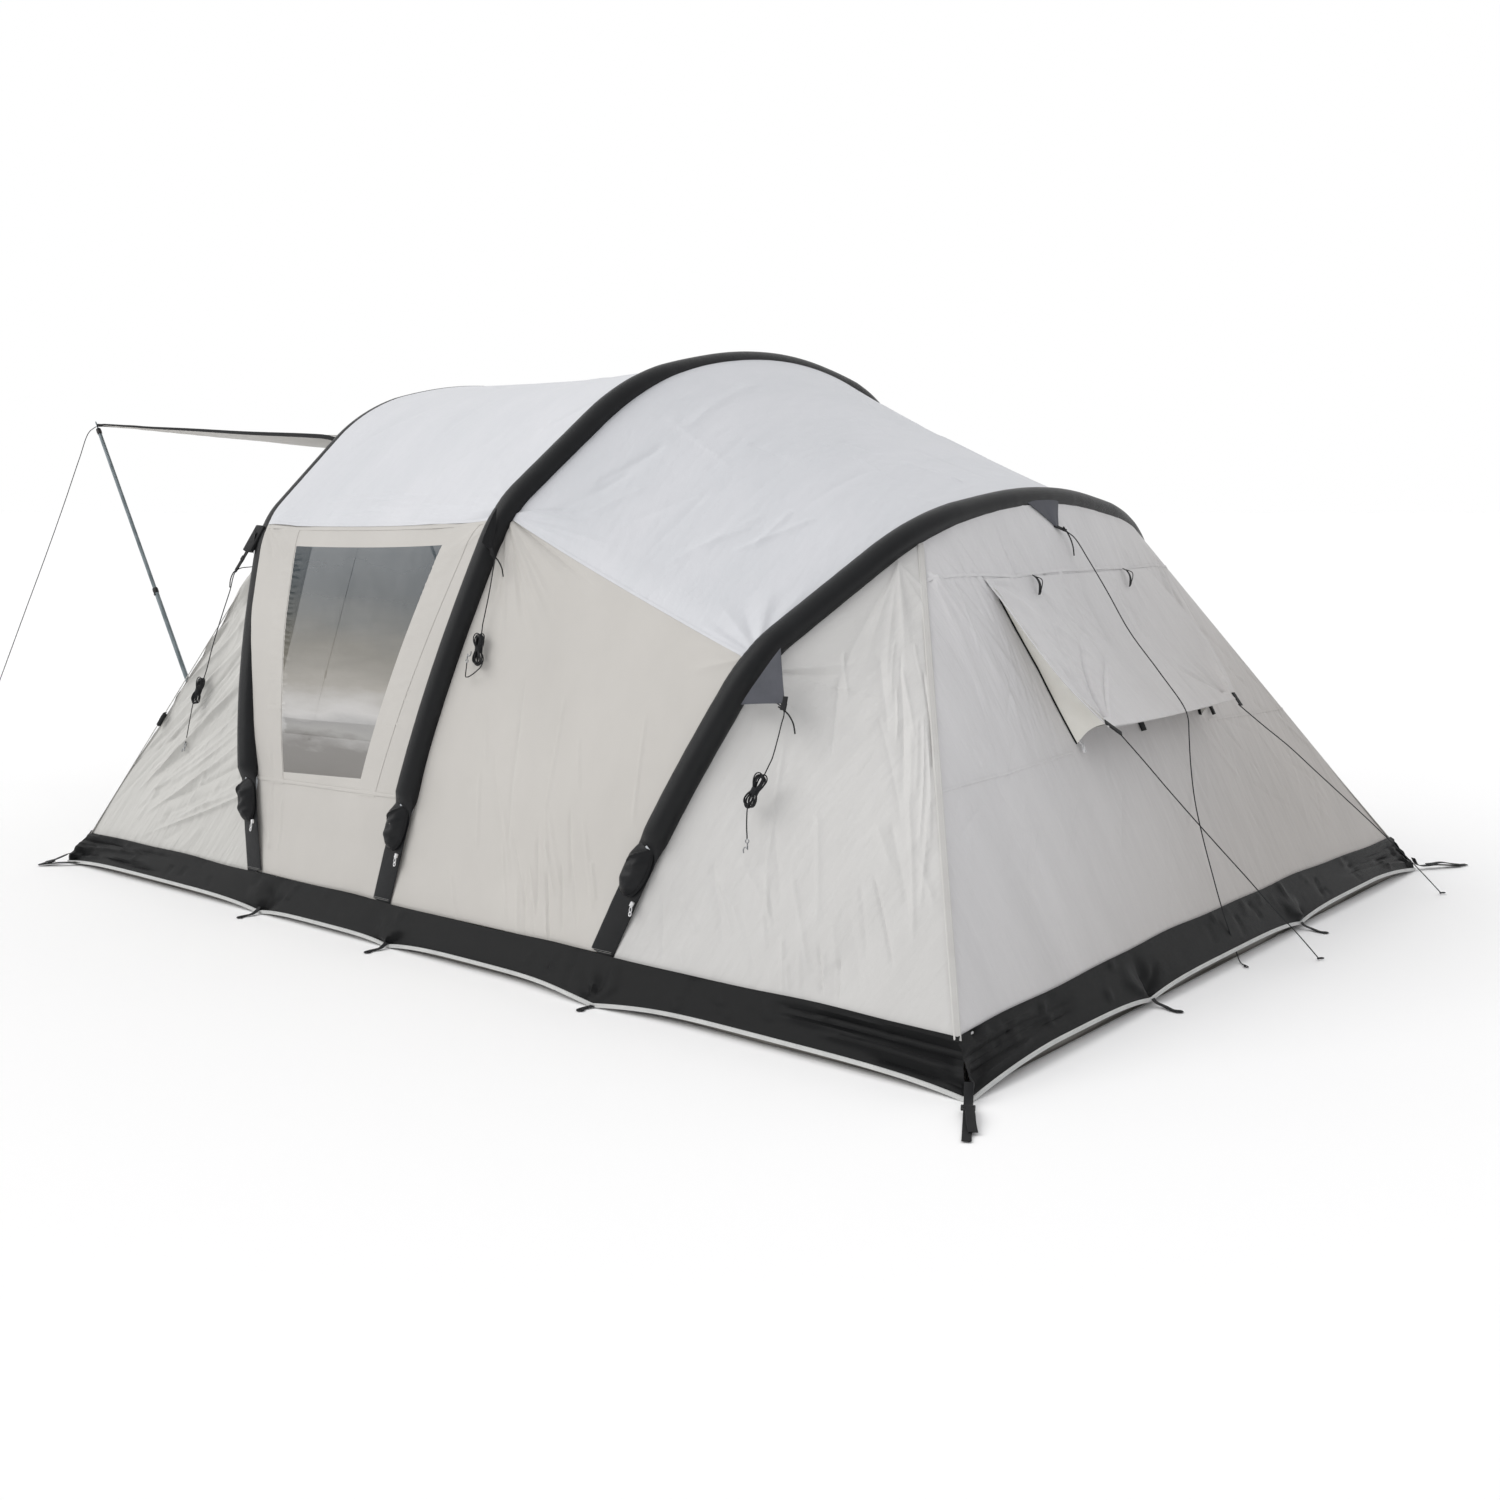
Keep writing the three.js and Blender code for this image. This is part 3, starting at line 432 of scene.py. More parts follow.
def piece(name, parts, mat, slot, body="tent", replaces=(), sharp=35):
    """One object from several vertex and face lists."""
    parts = parts if isinstance(parts, list) else [parts]
    verts, faces, start = [], [], 0
    for v, f in parts:
        verts.append(np.asarray(v, float))
        faces.extend((np.asarray(f) + start).tolist())
        start += len(v)
    faces = [f if len(set(f)) == len(f) else list(dict.fromkeys(f)) for f in faces]
    mesh = bpy.data.meshes.new(name)
    mesh.from_pydata(np.concatenate(verts).tolist(), [], faces)
    mesh.validate()
    mesh.shade_smooth()
    mesh.set_sharp_from_angle(angle=math.radians(sharp))
    mesh.materials.append(MATS[mat])
    obj = bpy.data.objects.new(name, mesh)
    bpy.context.scene.collection.objects.link(obj)
    if body:
        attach(obj, body)
    if replaces:
        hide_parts(*replaces)
    return obj


def grid_size(points):
    """Greatest width and length of a grid of points, and its area."""
    across = np.linalg.norm(np.diff(points, axis=1), axis=2).sum(axis=1)
    along = np.linalg.norm(np.diff(points, axis=0), axis=2).sum(axis=0)
    a, b, c, d = points[:-1, :-1], points[:-1, 1:], points[1:, 1:], points[1:, :-1]
    area = 0.5 * np.linalg.norm(np.cross(c - a, d - b), axis=2).sum()
    return float(across.max()), float(along.max()), float(area)


def declare_sheet(points, share=1.0):
    """Works out the cut's width and length before wrinkles, and its area, of which share is left beside an opening, and
    returns nothing.
    """
    width, length, area = grid_size(points)
    # A cut much narrower than its box, such as a triangle, is taken at its mean width
    width = min(width, area * share / (0.42 * length))
    width, length = round(width, 3), round(length, 3)


# ---------------------------------------------------------------- camera
def make_camera():
    """Stands at the near rear corner, a little lower than the tent's top, and looks down by 0.15 radians."""
    data = bpy.data.cameras.new("camera")
    data.sensor_width = 36
    data.lens = 39.76
    data.clip_end = 200
    camera = bpy.data.objects.new("camera", data)
    camera.location = (4.4387, -5.3043, 1.5470)
    camera.rotation_euler = (math.pi / 2 - 0.150, 0, 0.687)
    bpy.context.scene.collection.objects.link(camera)
    bpy.context.scene.camera = camera


make_camera()

# ---------------------------------------------------------------- arches
# How many stations each stretch of half an arch has, and the stations of its knee, its shoulder and its far foot
LEG, KNEE, MID, SHOULDER, TOP = 104, 26, 44, 30, 60
I_KNEE = LEG + KNEE // 2
I_SHOULDER = LEG + KNEE + MID + SHOULDER // 2
LAST = 2 * (LEG + KNEE + MID + SHOULDER + TOP)
KNEE_REACH, SHOULDER_REACH = 0.11, 0.19


def arch_profile(arch):
    """Near foot to far foot, as (y, z)."""
    foot, knee, shoulder = np.array([FOOT_Y, WALL_Z]), np.array(arch["knee"]), np.array(arch["shoulder"])
    rise = arch["crown"] - shoulder[1]

    def crown(y):
        return np.array([y, arch["crown"] - rise * (y / shoulder[0]) ** 2])

    def toward(a, b, d):
        return a + unit(b - a) * d

    def line(a, b, n):
        return lerp(a, b, np.linspace(0, 1, n, endpoint=False)[:, None])

    def bend(a, b, c, n):
        t = np.linspace(0, 1, n, endpoint=False)[:, None]
        return (1 - t) ** 2 * a + 2 * t * (1 - t) * b + t ** 2 * c

    k0, k1 = toward(knee, foot, KNEE_REACH), toward(knee, shoulder, KNEE_REACH)
    s0, s1 = toward(shoulder, knee, SHOULDER_REACH), crown(shoulder[0] - SHOULDER_REACH)
    half = np.concatenate([line(foot, k0, LEG), bend(k0, knee, k1, KNEE), line(k1, s0, MID),
                           bend(s0, shoulder, s1, SHOULDER), [crown(y) for y in np.linspace(s1[0], 0, TOP + 1)]])
    leg_share = np.clip((half[:, 1] - WALL_Z) / (knee[1] - WALL_Z), 0, 1)
    half[:, 0] += arch["bow"] * np.sin(np.pi * leg_share) * (half[:, 0] > knee[0] - 0.06)
    half[:, 1] -= arch["settle"] * smooth((0.95 - half[:, 0]) / 0.6)
    return np.concatenate([half * (-1, 1), half[-2::-1]])


def arch_x(arch, z):
    return arch["foot_x"] + arch["lean"] * (z - WALL_Z)


def arch_normal(arch):
    return unit((1, 0, -arch["lean"]))


def arch_line(arch, inset=0.0, shift=0.0):
    """The arch's axis, moved inwards by inset and along its own normal by shift."""
    profile = arch_profile(arch)
    along = unit(np.gradient(profile, axis=0))
    y, z = profile[:, 0] + along[:, 1] * inset, profile[:, 1] - along[:, 0] * inset
    return np.stack([arch_x(arch, z), y, z], axis=1) + arch_normal(arch) * shift


# How deep the cloth's edge sits below the beam's axis, on the legs and at the crown, on each side of each beam
INSETS = {
    ("front", -1): (0.020, -0.010), ("front", 1): (-0.010, -0.041),
    ("middle", -1): (0.016, -0.016), ("middle", 1): (0.002, -0.026),
    ("rear", -1): (0.016, -0.016), ("rear", 1): (0.008, -0.026),
}
EDGE_SHIFT = 0.012


def cloth_edge(name, side):
    """The cloth's edge beside an arch, hidden in its sleeve: side +1 is towards the rear wall."""
    arch = ARCHES[name]
    y, z = arch_profile(arch).T
    leg, crown = INSETS[name, side]
    rise = smooth((z - 0.45) / 0.25)
    leg_inset = 0.012 * smooth((z - WALL_Z) / 0.2) * (1 - rise) + leg * rise
    if (name, side) == ("front", 1):
        return arch_line(arch, leg_inset + (crown - leg) * smooth((z - 0.62) / 0.5), side * EDGE_SHIFT)
    share = smooth((0.95 - np.abs(y)) / 0.6)
    if (name, side) == ("rear", 1):
        share = np.maximum(share, smooth((1.38 - y) / 0.3) * (y > 0))
    return arch_line(arch, leg_inset * (1 - share) + crown * share, side * EDGE_SHIFT)


EDGES = {(name, side): cloth_edge(name, side) for name in ARCHES for side in (-1, 1)}


def at(edge, k):
    """A point of an edge at fractional positions k."""
    return along_line(k, np.arange(len(edge)), edge)


# ---------------------------------------------------------------- cords
# Routes repeat part.mjs's, in metres.
GUYS = {
    "front": {
        "line": [(-1.440, -1.416, 1.262), (-1.466, -1.432, 1.180), (-1.496, -1.455, 1.080), (-1.528, -1.482, 0.960),
                 (-1.551, -1.502, 0.858)],
        "hank": [(-1.556, -1.514, 0.836), (-1.590, -1.546, 0.714)], "hook": (-1.606, -1.580, 0.560)},
    "middle": {
        "line": [(0.100, -1.408, 1.352), (0.104, -1.424, 1.290), (0.103, -1.440, 1.225), (0.101, -1.458, 1.160),
                 (0.100, -1.470, 1.120)],
        "hank": [(0.098, -1.480, 1.098), (0.116, -1.513, 0.976)], "hook": (0.066, -1.516, 0.990)},
    "rear": {
        "line": [(1.404, -1.446, 0.926), (1.403, -1.458, 0.880), (1.399, -1.473, 0.830), (1.393, -1.488, 0.782),
                 (1.388, -1.494, 0.766)],
        "hank": [(1.380, -1.507, 0.742), (1.336, -1.542, 0.632)], "hook": (1.366, -1.572, 0.548)},
}
REAR_CROWN = [(1.550, -0.014, 1.436), (1.580, -0.010, 1.414), (1.640, -0.004, 1.330), (1.706, 0.006, 1.228),
              (1.790, 0.018, 1.092), (1.900, 0.030, 0.958), (1.996, 0.038, 0.838), (2.012, 0.038, 0.800),
              (2.020, 0.034, 0.740), (2.034, 0.026, 0.640), (2.062, 0.010, 0.520), (2.104, -0.008, 0.400),
              (2.148, -0.024, 0.290), (2.192, -0.036, 0.180), (2.228, -0.044, 0.100), (2.256, -0.050, 0.040),
              (2.278, -0.064, 0.006), (2.310, -0.096, 0.004)]
FLAP_NEAR = [(2.003, -0.462, 0.806), (2.058, -0.392, 0.712), (2.112, -0.316, 0.612), (2.172, -0.238, 0.508),
             (2.235, -0.158, 0.402), (2.300, -0.076, 0.294), (2.364, 0.006, 0.184), (2.420, 0.080, 0.092),
             (2.470, 0.142, 0.006)]
FLAP_FAR = [(2.003, 0.484, 0.806), (2.056, 0.592, 0.722), (2.112, 0.702, 0.638), (2.176, 0.816, 0.536),
            (2.242, 0.932, 0.432), (2.308, 1.050, 0.326), (2.372, 1.168, 0.218), (2.434, 1.280, 0.112),
            (2.492, 1.386, 0.006)]
POLE_GUY = [(-3.349, -0.906, 1.905), (-3.386, -0.926, 1.878), (-3.470, -0.938, 1.752), (-3.620, -0.958, 1.514),
            (-3.780, -0.984, 1.260), (-3.940, -1.015, 1.004), (-4.100, -1.046, 0.746), (-4.260, -1.077, 0.488),
            (-4.400, -1.104, 0.260), (-4.490, -1.121, 0.110), (-4.550, -1.133, 0.005)]
WALL_OUT = np.array([0, -0.96, 0.26])
# A hank: turns of a racetrack, whose bends widen and narrow again, layer on layer
HANK_TURNS, HANK_STEPS, HANK_RUN, HANK_RADII, HANK_LAYER = 9, 36, 0.072, (0.0125, 0.0168), 0.0042
HANK_PINCH = 0.0100


def mirrored(points, side):
    return np.array(points, float) * (1, side, 1)


def hank_path(start, end, out):
    """Racetrack turns that lie beside and on each other, from the hank's upper end to its lower end."""
    along = unit(end - start)
    out = unit(out - along * (out @ along))
    across = np.cross(out, along)
    middle, half = (start + end) / 2, HANK_RUN / 2
    points = []
    for k in range(HANK_TURNS * HANK_STEPS + 1):
        turn = k / HANK_STEPS
        stage = turn % 2
        wide = HANK_RADII[0] + (HANK_RADII[1] - HANK_RADII[0]) * (smooth(stage) if stage < 1 else 1
                - smooth(stage - 1))
        bend = math.pi * wide
        s = (turn % 1) * (2 * HANK_RUN + 2 * bend)
        if s < half:
            x, y = s, wide
        elif s < half + bend:
            a = (s - half) / wide
            x, y = half + wide * math.sin(a), wide * math.cos(a)
        elif s < half + bend + HANK_RUN:
            x, y = half - (s - half - bend), -wide
        elif s < half + 2 * bend + HANK_RUN:
            a = (s - half - bend - HANK_RUN) / wide
            x, y = -half - wide * math.sin(a), -wide * math.cos(a)
        else:
            x, y = -half + (s - half - 2 * bend - HANK_RUN), wide
        # The wraps pinch the turns at the waist, and no two turns lie quite alike
        pinch = HANK_PINCH * math.exp(-(x / 0.017) ** 2) * min(1, abs(y) / 0.011)
        x_sway, y_sway = 0.0045 * math.sin(turn * 1.9), 0.0055 * math.sin(turn * 2.6 + 1) * (1
                - math.exp(-(x / 0.02) ** 2))
        level = (turn / 2 - (HANK_TURNS - 1) / 4) * HANK_LAYER
        points.append(middle + along * (x + x_sway) + across * (y - math.copysign(pinch, y) + y_sway) + out * level)
    return np.array(points), along, across, out


def hook_parts(top, down, face):
    """A small S hook: an eye at the top and an open hook under it."""
    side = np.cross(down, face)
    eye = ellipse(top + down * 0.006, side * 0.006, -down * 0.006, 17, np.radians([90, 450]))
    shank = [top + down * s for s in (0.012, 0.020, 0.028)]
    hook = ellipse(top + down * 0.034 + side * 0.008, side * 0.008, -down * 0.011, 16, np.radians([180, -30]), True)
    return [tube_part(eye, 0.0018, 6, closed=True), tube_part(shank + list(hook[1:]), 0.0021, 6)]


def cord_piece(name, path, **facts):
    return piece(name, tube_part(path, GUY_D / 2, 6), "cord", "guy_cord", **facts)


def guy_line(guy, side_name, side):
    """A guy line that hangs wound up from its beam: line, hank, tail and hook."""
    facts = GUYS[guy]
    # It starts at its beam and runs out along the patch that it pulls on
    top = np.array(facts["line"][0])
    beam = arch_line(ARCHES[guy])
    root = beam[np.argmin(np.linalg.norm(beam - top, axis=1))]
    root = root + unit(top - root) * (SLEEVE_R + 0.012)
    line = dense(mirrored([root] + facts["line"], side), 44)
    (start, end), hook = mirrored(facts["hank"], side), mirrored(facts["hook"], side)
    turns, along, across, out = hank_path(start, end, WALL_OUT * (1, side, 1))
    into = dense([line[-1], lerp(line[-1], turns[0], 0.5) + out * 0.002, turns[0]], 8)
    if guy == "middle":
        route = [turns[-1] + along * 0.030 + across * 0.010, turns[-1] + along * 0.060 + across * 0.030,
                 hook + along * 0.052, hook + along * 0.020]
    else:
        route = [turns[-1] + along * 0.045, lerp(turns[-1] + along * 0.06, hook, 0.5)]
    tail = dense([turns[-1], *route, hook], 14)
    path = resample(np.concatenate([line, into[1:], turns[1:], tail[1:]]), 420)
    cord = cord_piece(f"guy_{guy}_{side_name}_cord", path,
                      replaces=(f"guy_{guy}_line", f"guy_{guy}_hank") if side > 0 else ())
    wraps = [tube_part(ellipse((start + end) / 2 + along * k * 0.0042, across * 0.0112, out * 0.0125, 20), 0.0021, 6,
                       closed=True) for k in range(-2, 3)]
    tie = piece(f"guy_{guy}_{side_name}_tie", wraps, "cord", "guy_cord")
    fitting = piece(f"guy_{guy}_{side_name}_hook", hook_parts(hook, unit(tail[-1] - tail[-3]), out), "hook",
                    "bright_metal")


def peg_loop(name, end, direction):
    """A small spliced loop that a cord ends in, lying at its peg point."""
    direction = unit(direction)
    side = unit(np.cross(direction, Z_UP))
    loop = ellipse(end + direction * 0.010, -direction * 0.010, side * 0.006, 16)
    loop[:, 2] = np.maximum(loop[:, 2], 0.0025)
    knot = tube_part(end + np.outer(np.linspace(-0.006, 0.004, 5), direction), 0.0036, 8,
                     scale=np.array([0.6, 1, 1.1, 1, 0.6]))
    return piece(name, [tube_part(loop, 0.0018, 6, closed=True), knot], "cord", "guy_cord")


def slider_part(centre, along, face):
    """A line tensioner: a flat bar with two eyes that the cord runs through."""
    along = unit(along)
    face = unit(face - along * (face @ along))
    return framed_block(centre, face, along, (0.014, 0.008, 0.052), 0.4)


for guy in GUYS:
    for side_name, side in MIRRORS:
        guy_line(guy, side_name, side)
path = dense(REAR_CROWN, 150)
cord = cord_piece("rear_crown_cord", path, replaces=["rear_crown_line"])
peg_loop("rear_crown_loop", path[-1], (1, -1, 0))
for name, route in (("near", FLAP_NEAR), ("far", FLAP_FAR)):
    path = dense(route, 90)
    cord = cord_piece(f"flap_guy_{name}_cord", path, body=None, replaces=[f"flap_guy_{name}"])
    loop = peg_loop(f"flap_guy_{name}_loop", path[-1], (0.3, 0.5, 0))
    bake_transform(cord)
for name, side in MIRRORS:
    path = dense(mirrored(POLE_GUY, side), 110)
    cord = cord_piece(f"pole_guy_{name}_cord", path, body=None, replaces=[f"pole_guy_{name}"])
    loop = peg_loop(f"pole_guy_{name}_loop", path[-1], (-1, -0.2 * side, 0))
    bar = slider_part(path[84], path[80] - path[88], np.array([0, -side, 0]))
    tensioner = piece(f"pole_guy_{name}_tensioner", bar, "plastic", "black_plastic", body=None)
    for part in (tensioner, cord):
        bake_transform(part)

# ---------------------------------------------------------------- wrinkles
CREASE = 2.7


def crease_field(x, y, lines):
    """Height of many straight creases at the points (x, y) of a flat cut, in metres."""
    height = np.zeros_like(x)
    for x0, y0, x1, y1, size, width, fade in lines:
        dx, dy = x1 - x0, y1 - y0
        run = math.hypot(dx, dy)
        t = ((x - x0) * dx + (y - y0) * dy) / run ** 2
        d = np.abs((x - x0) * dy - (y - y0) * dx) / run
        ends = smooth(t * 7 + 0.5) * smooth((1 - t) * (2.2 if fade else 5))
        spread_by = width * (1 + (1.6 * np.clip(t, 0, 1) if fade else 0))
        height += CREASE * size * ends * np.exp(-(d / spread_by) ** 1.35)
    return height


def fan(rng, x, y, low, high, count, run, size, width=0.011, start=0.02):
    """Creases that spread from one point, between two directions in degrees."""
    lines = []
    for angle in np.radians(np.linspace(low, high, count) + rng.uniform(-4, 4, count)):
        reach = run * rng.uniform(0.45, 1.0)
        cx, cy = math.cos(angle), math.sin(angle)
        lines.append((x + cx * start, y + cy * start, x + cx * reach, y + cy * reach,
                      size * rng.uniform(0.4, 1.0) * rng.choice([1, 1, -1]), width * rng.uniform(0.7, 1.3), True))
    return lines


def scatter(rng, x_range, y_range, angles, count, run, size, width=0.012):
    """Creases of one general direction scattered over a patch."""
    lines = []
    for _ in range(count):
        x, y = rng.uniform(*x_range), rng.uniform(*y_range)
        angle, reach = math.radians(rng.uniform(*angles)), run * rng.uniform(0.4, 1.0)
        lines.append((x, y, x + reach * math.cos(angle), y + reach * math.sin(angle),
                      size * rng.uniform(0.4, 1.0) * rng.choice([1, -1]), width * rng.uniform(0.7, 1.4), False))
    return lines


def swell(x, y, seed, size, scale=0.5):
    """A slow, uneven swell of the cloth."""
    rng = np.random.default_rng(seed)
    height = np.zeros_like(x)
    for _ in range(7):
        a, b, phase = rng.uniform(-1, 1), rng.uniform(-1, 1), rng.uniform(0, 6.28)
        height += np.sin((a * x + b * y) * 6.28 / scale + phase) * size / 3
    return height


def wrinkled(points, x, y, lines, seed, swell_size, scale, hold=1, sign=1):
    """Moves a grid of points along its normals, except where it is held."""
    height = (crease_field(x, y, lines) + swell(x, y, seed, swell_size, scale)) * hold
    return points + grid_normals(points) * (height * sign)[..., None]


# ---------------------------------------------------------------- canvas between the arches
# Each span's two arches, and the width of its flat cut
SPANS = {"front": ("front", "middle", 1.0), "rear": ("middle", "rear", 1.35)}
BAY_SAG = 0.026


def bay_base(span, u, k):
    a, b, _ = SPANS[span]
    point = lerp(at(EDGES[a, 1], k), at(EDGES[b, -1], k), u[..., None])
    sag = BAY_SAG * smooth((point[..., 2] - 0.3) / 1.0) * 4 * u * (1 - u)
    return point + unit(point * (0, -1, -1)) * sag[..., None]


ARC = {span: arc_length(bay_base(span, np.full(LAST + 1, 0.5), np.arange(LAST + 1.0))) for span in SPANS}


def front_bay_lines(rng, knee_y, width):
    lines = fan(rng, 0.0, knee_y, -60, 40, 16, 0.26, 0.0026, 0.006)
    # Short puckers across the stitched strips beside the window
    for y0 in np.arange(0.62, knee_y - 0.1, 0.022):
        for x0 in (0.17, 0.82):
            tilt = rng.uniform(-0.012, 0.012)
            lines.append((x0 - 0.05, y0 - tilt, x0 + 0.045, y0 + tilt, 0.0009 * rng.uniform(0.3, 1.2), 0.005, False))
    lines += fan(rng, width, knee_y + 0.03, 130, 235, 10, 0.40, 0.0024)
    lines += scatter(rng, (0.1, 0.9), (knee_y + 0.02, knee_y + 0.14), (-12, 12), 9, 0.35, 0.0014, 0.008)
    lines += scatter(rng, (0.08, 0.2), (0.1, 0.5), (82, 98), 5, 0.3, 0.0018, 0.010)
    return lines + scatter(rng, (0.1, 0.9), (knee_y + 0.3, knee_y + 1.2), (50, 90), 10, 0.5, 0.0014, 0.016)


def rear_bay_lines(rng, knee_y, width):
    lines = fan(rng, 0.0, knee_y, -75, 35, 22, 0.62, 0.0024, 0.006)
    lines += fan(rng, width, knee_y + 0.02, 95, 215, 12, 0.42, 0.0022)
    lines += scatter(rng, (0.15, 1.0), (knee_y + 0.1, knee_y + 0.9), (60, 100), 14, 0.5, 0.0016, 0.016)
    lines += scatter(rng, (0.2, 1.2), (0.15, 0.9), (-75, -45), 16, 0.45, 0.0011, 0.007)
    lines += scatter(rng, (0.75, 1.2), (0.10, 0.5), (-62, -50), 14, 0.4, 0.0016, 0.006)
    return lines + scatter(rng, (0.05, 1.3), (knee_y + 0.7, knee_y + 1.4), (-20, 20), 10, 0.4, 0.0014, 0.014)


def bay_lines():
    """The creases of both spans: on the near side, then, drawn anew, on the far side."""
    rng = np.random.default_rng(11)
    found = {span: [] for span in SPANS}
    for mirror in (False, True):
        for span, make in (("front", front_bay_lines), ("rear", rear_bay_lines)):
            lines = make(rng, ARC[span][I_KNEE], SPANS[span][2])
            if mirror:
                top = ARC[span][-1]
                lines = [(x0, top - y0, x1, top - y1, *rest) for x0, y0, x1, y1, *rest in lines]
            found[span] += lines
    return found


BAY_LINES = bay_lines()


def bay_surface(span, u, k, extra=0.0):
    """The finished cloth between two arches at u across and station k, pushed out by extra."""
    u, k = np.broadcast_arrays(np.asarray(u, float), np.asarray(k, float))
    e = 0.004
    du = bay_base(span, np.clip(u + e, 0, 1), k) - bay_base(span, np.clip(u - e, 0, 1), k)
    dk = bay_base(span, u, np.clip(k + 1, 0, LAST)) - bay_base(span, u, np.clip(k - 1, 0, LAST))
    normal = unit(np.cross(du, dk))
    x, y = u * SPANS[span][2], np.interp(k, np.arange(LAST + 1), ARC[span])
    hold = smooth(u / 0.05) * smooth((1 - u) / 0.05)
    height = crease_field(x, y, BAY_LINES[span]) + swell(x, y, 3 if span == "front" else 4, 0.0022, 0.62)
    return bay_base(span, u, k) + normal * (height * hold + extra)[..., None], normal


def solve_uk(span, x, z, guess):
    """The (u, k) of the near wall's point with that x and z."""
    u, k = guess
    for _ in range(30):
        p = bay_base(span, np.array(u), np.array(k))
        pu = (bay_base(span, np.array(u + 1e-3), np.array(k)) - p) / 1e-3
        pk = (bay_base(span, np.array(u), np.array(k + 0.1)) - p) / 0.1
        step = np.linalg.solve([[pu[0], pk[0]], [pu[2], pk[2]]], np.array([x, z]) - p[[0, 2]])
        u, k = float(np.clip(u + step[0], 0, 1)), float(np.clip(k + step[1], 0, LAST))
    return u, k


def lattice(corners, columns, rows):
    """A grid over a 4 by 4 net of parameter corners; its middle cell is a window."""
    net = np.asarray(corners, float)
    row_at, col_at = (np.concatenate([np.linspace(i, i + 1, n, endpoint=False) for i, n in enumerate(counts)]
                                     + [[3.0]])
                      for counts in (rows, columns))
    r, c = np.meshgrid(row_at, col_at, indexing="ij")
    i, j = np.minimum(r.astype(int), 2), np.minimum(c.astype(int), 2)
    fr, fc = (r - i)[..., None], (c - j)[..., None]
    grid = lerp(lerp(net[i, j], net[i, j + 1], fc), lerp(net[i + 1, j], net[i + 1, j + 1], fc), fr)
    return grid, ((rows[0], rows[0] + rows[1]), (columns[0], columns[0] + columns[1]))


def window_net(corners, left, right, low, high, top_left, top_right):
    """A net whose middle cell has the window's corners, and whose rim has the wall's own limits."""
    bl, br, tr, tl = corners
    return [[(left, low), (bl[0], low), (br[0], low), (right, low)],
            [(left, bl[1]), bl, br, (right, br[1])],
            [(left, tl[1]), tl, tr, (right, tr[1])],
            [(left, high), (top_left, high), (top_right, high), (right, high)]]


def pane_of(points, hole):
    (r0, r1), (c0, c1) = hole
    pane = points[r0:r1 + 1, c0:c1 + 1]
    return pane, 1 - grid_size(pane)[2] / grid_size(points)[2]


def mirror_k(k, side):
    return k if side > 0 else LAST - k


bl, br, tr, tl = corners_uk = [solve_uk("front", x, z, (0.5, 60)) for x, z in SIDE_WINDOW]
SIDE_NET = window_net(corners_uk, 0, 1, 0, I_KNEE, tl[0] - 0.01, tr[0] + 0.01)
STRIP_W = 0.105


def window_strips(side):
    """Wide sewn strips on both sides of the window, and seams above and below it."""
    strips = []
    low, high = bl[1] - 4, I_KNEE - 1
    rows, cols = spread((0, 1, 120), (0, 1, 12))
    k = low + (high - low) * rows
    for at_low, at_high, sign in ((bl[0], tl[0], -1), (br[0], tr[0], 1)):
        inner = at_low + (at_high - at_low) * (k - bl[1]) / (tl[1] - bl[1])
        u = inner + sign * (0.004 + STRIP_W / SPANS["front"][2] * cols)
        strip, _ = bay_surface("front", u[:, ::sign], mirror_k(k, side), 0.0008)
        strips.append(grid_part(strip, 0.0010, flip=side < 0))
    for level in (bl[1] - 3, I_KNEE - 2):
        seam, normal = bay_surface("front", np.linspace(0.02, 0.98, 60), mirror_k(level, side), 0.0006)
        strips.append(strip_part(seam, 0.014, 0.0016, normal))
    return strips


def side_walls(side_name, side):
    """The two walls of one side, the window in the front one, and its strips."""
    grid, hole = lattice(SIDE_NET, (34, 112, 38), (60, 170, 28))
    points, _ = bay_surface("front", grid[..., 0], mirror_k(grid[..., 1], side))
    wall = piece(f"wall_front_{side_name}_cloth", grid_part(points, hole=hole, flip=side < 0), "wall", "wall_cloth",
                 replaces=[f"wall_front_{side_name}"])
    film_points, wall_share = pane_of(points, hole)
    declare_sheet(points, share=wall_share)
    v, h = spread((0, 1, film_points.shape[0]), (0, 1, film_points.shape[1]))
    ripple = (np.sin(v * 21 + h * 3) * 0.0012 + np.sin(h * 9
                                                       - v * 5) * 0.0016) * np.sin(np.pi * v) * np.sin(np.pi * h)
    film_points = film_points + grid_normals(film_points) * (ripple * side)[..., None]
    pane = piece(f"side_window_{side_name}_film", grid_part(film_points, flip=side < 0), "film", "clear_film",
                 replaces=[f"side_window_{side_name}"])
    declare_sheet(film_points)
    piece(f"window_strips_{side_name}", window_strips(side), "wall", "wall_cloth")
    k, u = spread((0, I_KNEE, 250), (0, 1, 250))
    points, _ = bay_surface("rear", u, mirror_k(k, side))
    wall = piece(f"wall_rear_{side_name}_cloth", grid_part(points, flip=side < 0), "wall", "wall_cloth",
                 replaces=[f"wall_rear_{side_name}"])
    declare_sheet(points)


for side_name, side in MIRRORS:
    side_walls(side_name, side)
for span, (first, second, _) in SPANS.items():
    k, u = spread((I_KNEE, LAST - I_KNEE, 480), (0, 1, 170))
    points, _ = bay_surface(span, u, k)
    roof = piece(f"roof_{span}_cloth", grid_part(points), "roof", "roof_cloth", replaces=[f"roof_{span}"])
    declare_sheet(points)
    tapes = []
    for level in (I_KNEE, LAST - I_KNEE):
        seam, normal = bay_surface(span, np.linspace(0.01, 0.99, 80), level, 0.0004)
        tapes.append(strip_part(seam, 0.012, 0.0014, normal))
    piece(f"roof_{span}_seams", tapes, "roof", "roof_cloth")

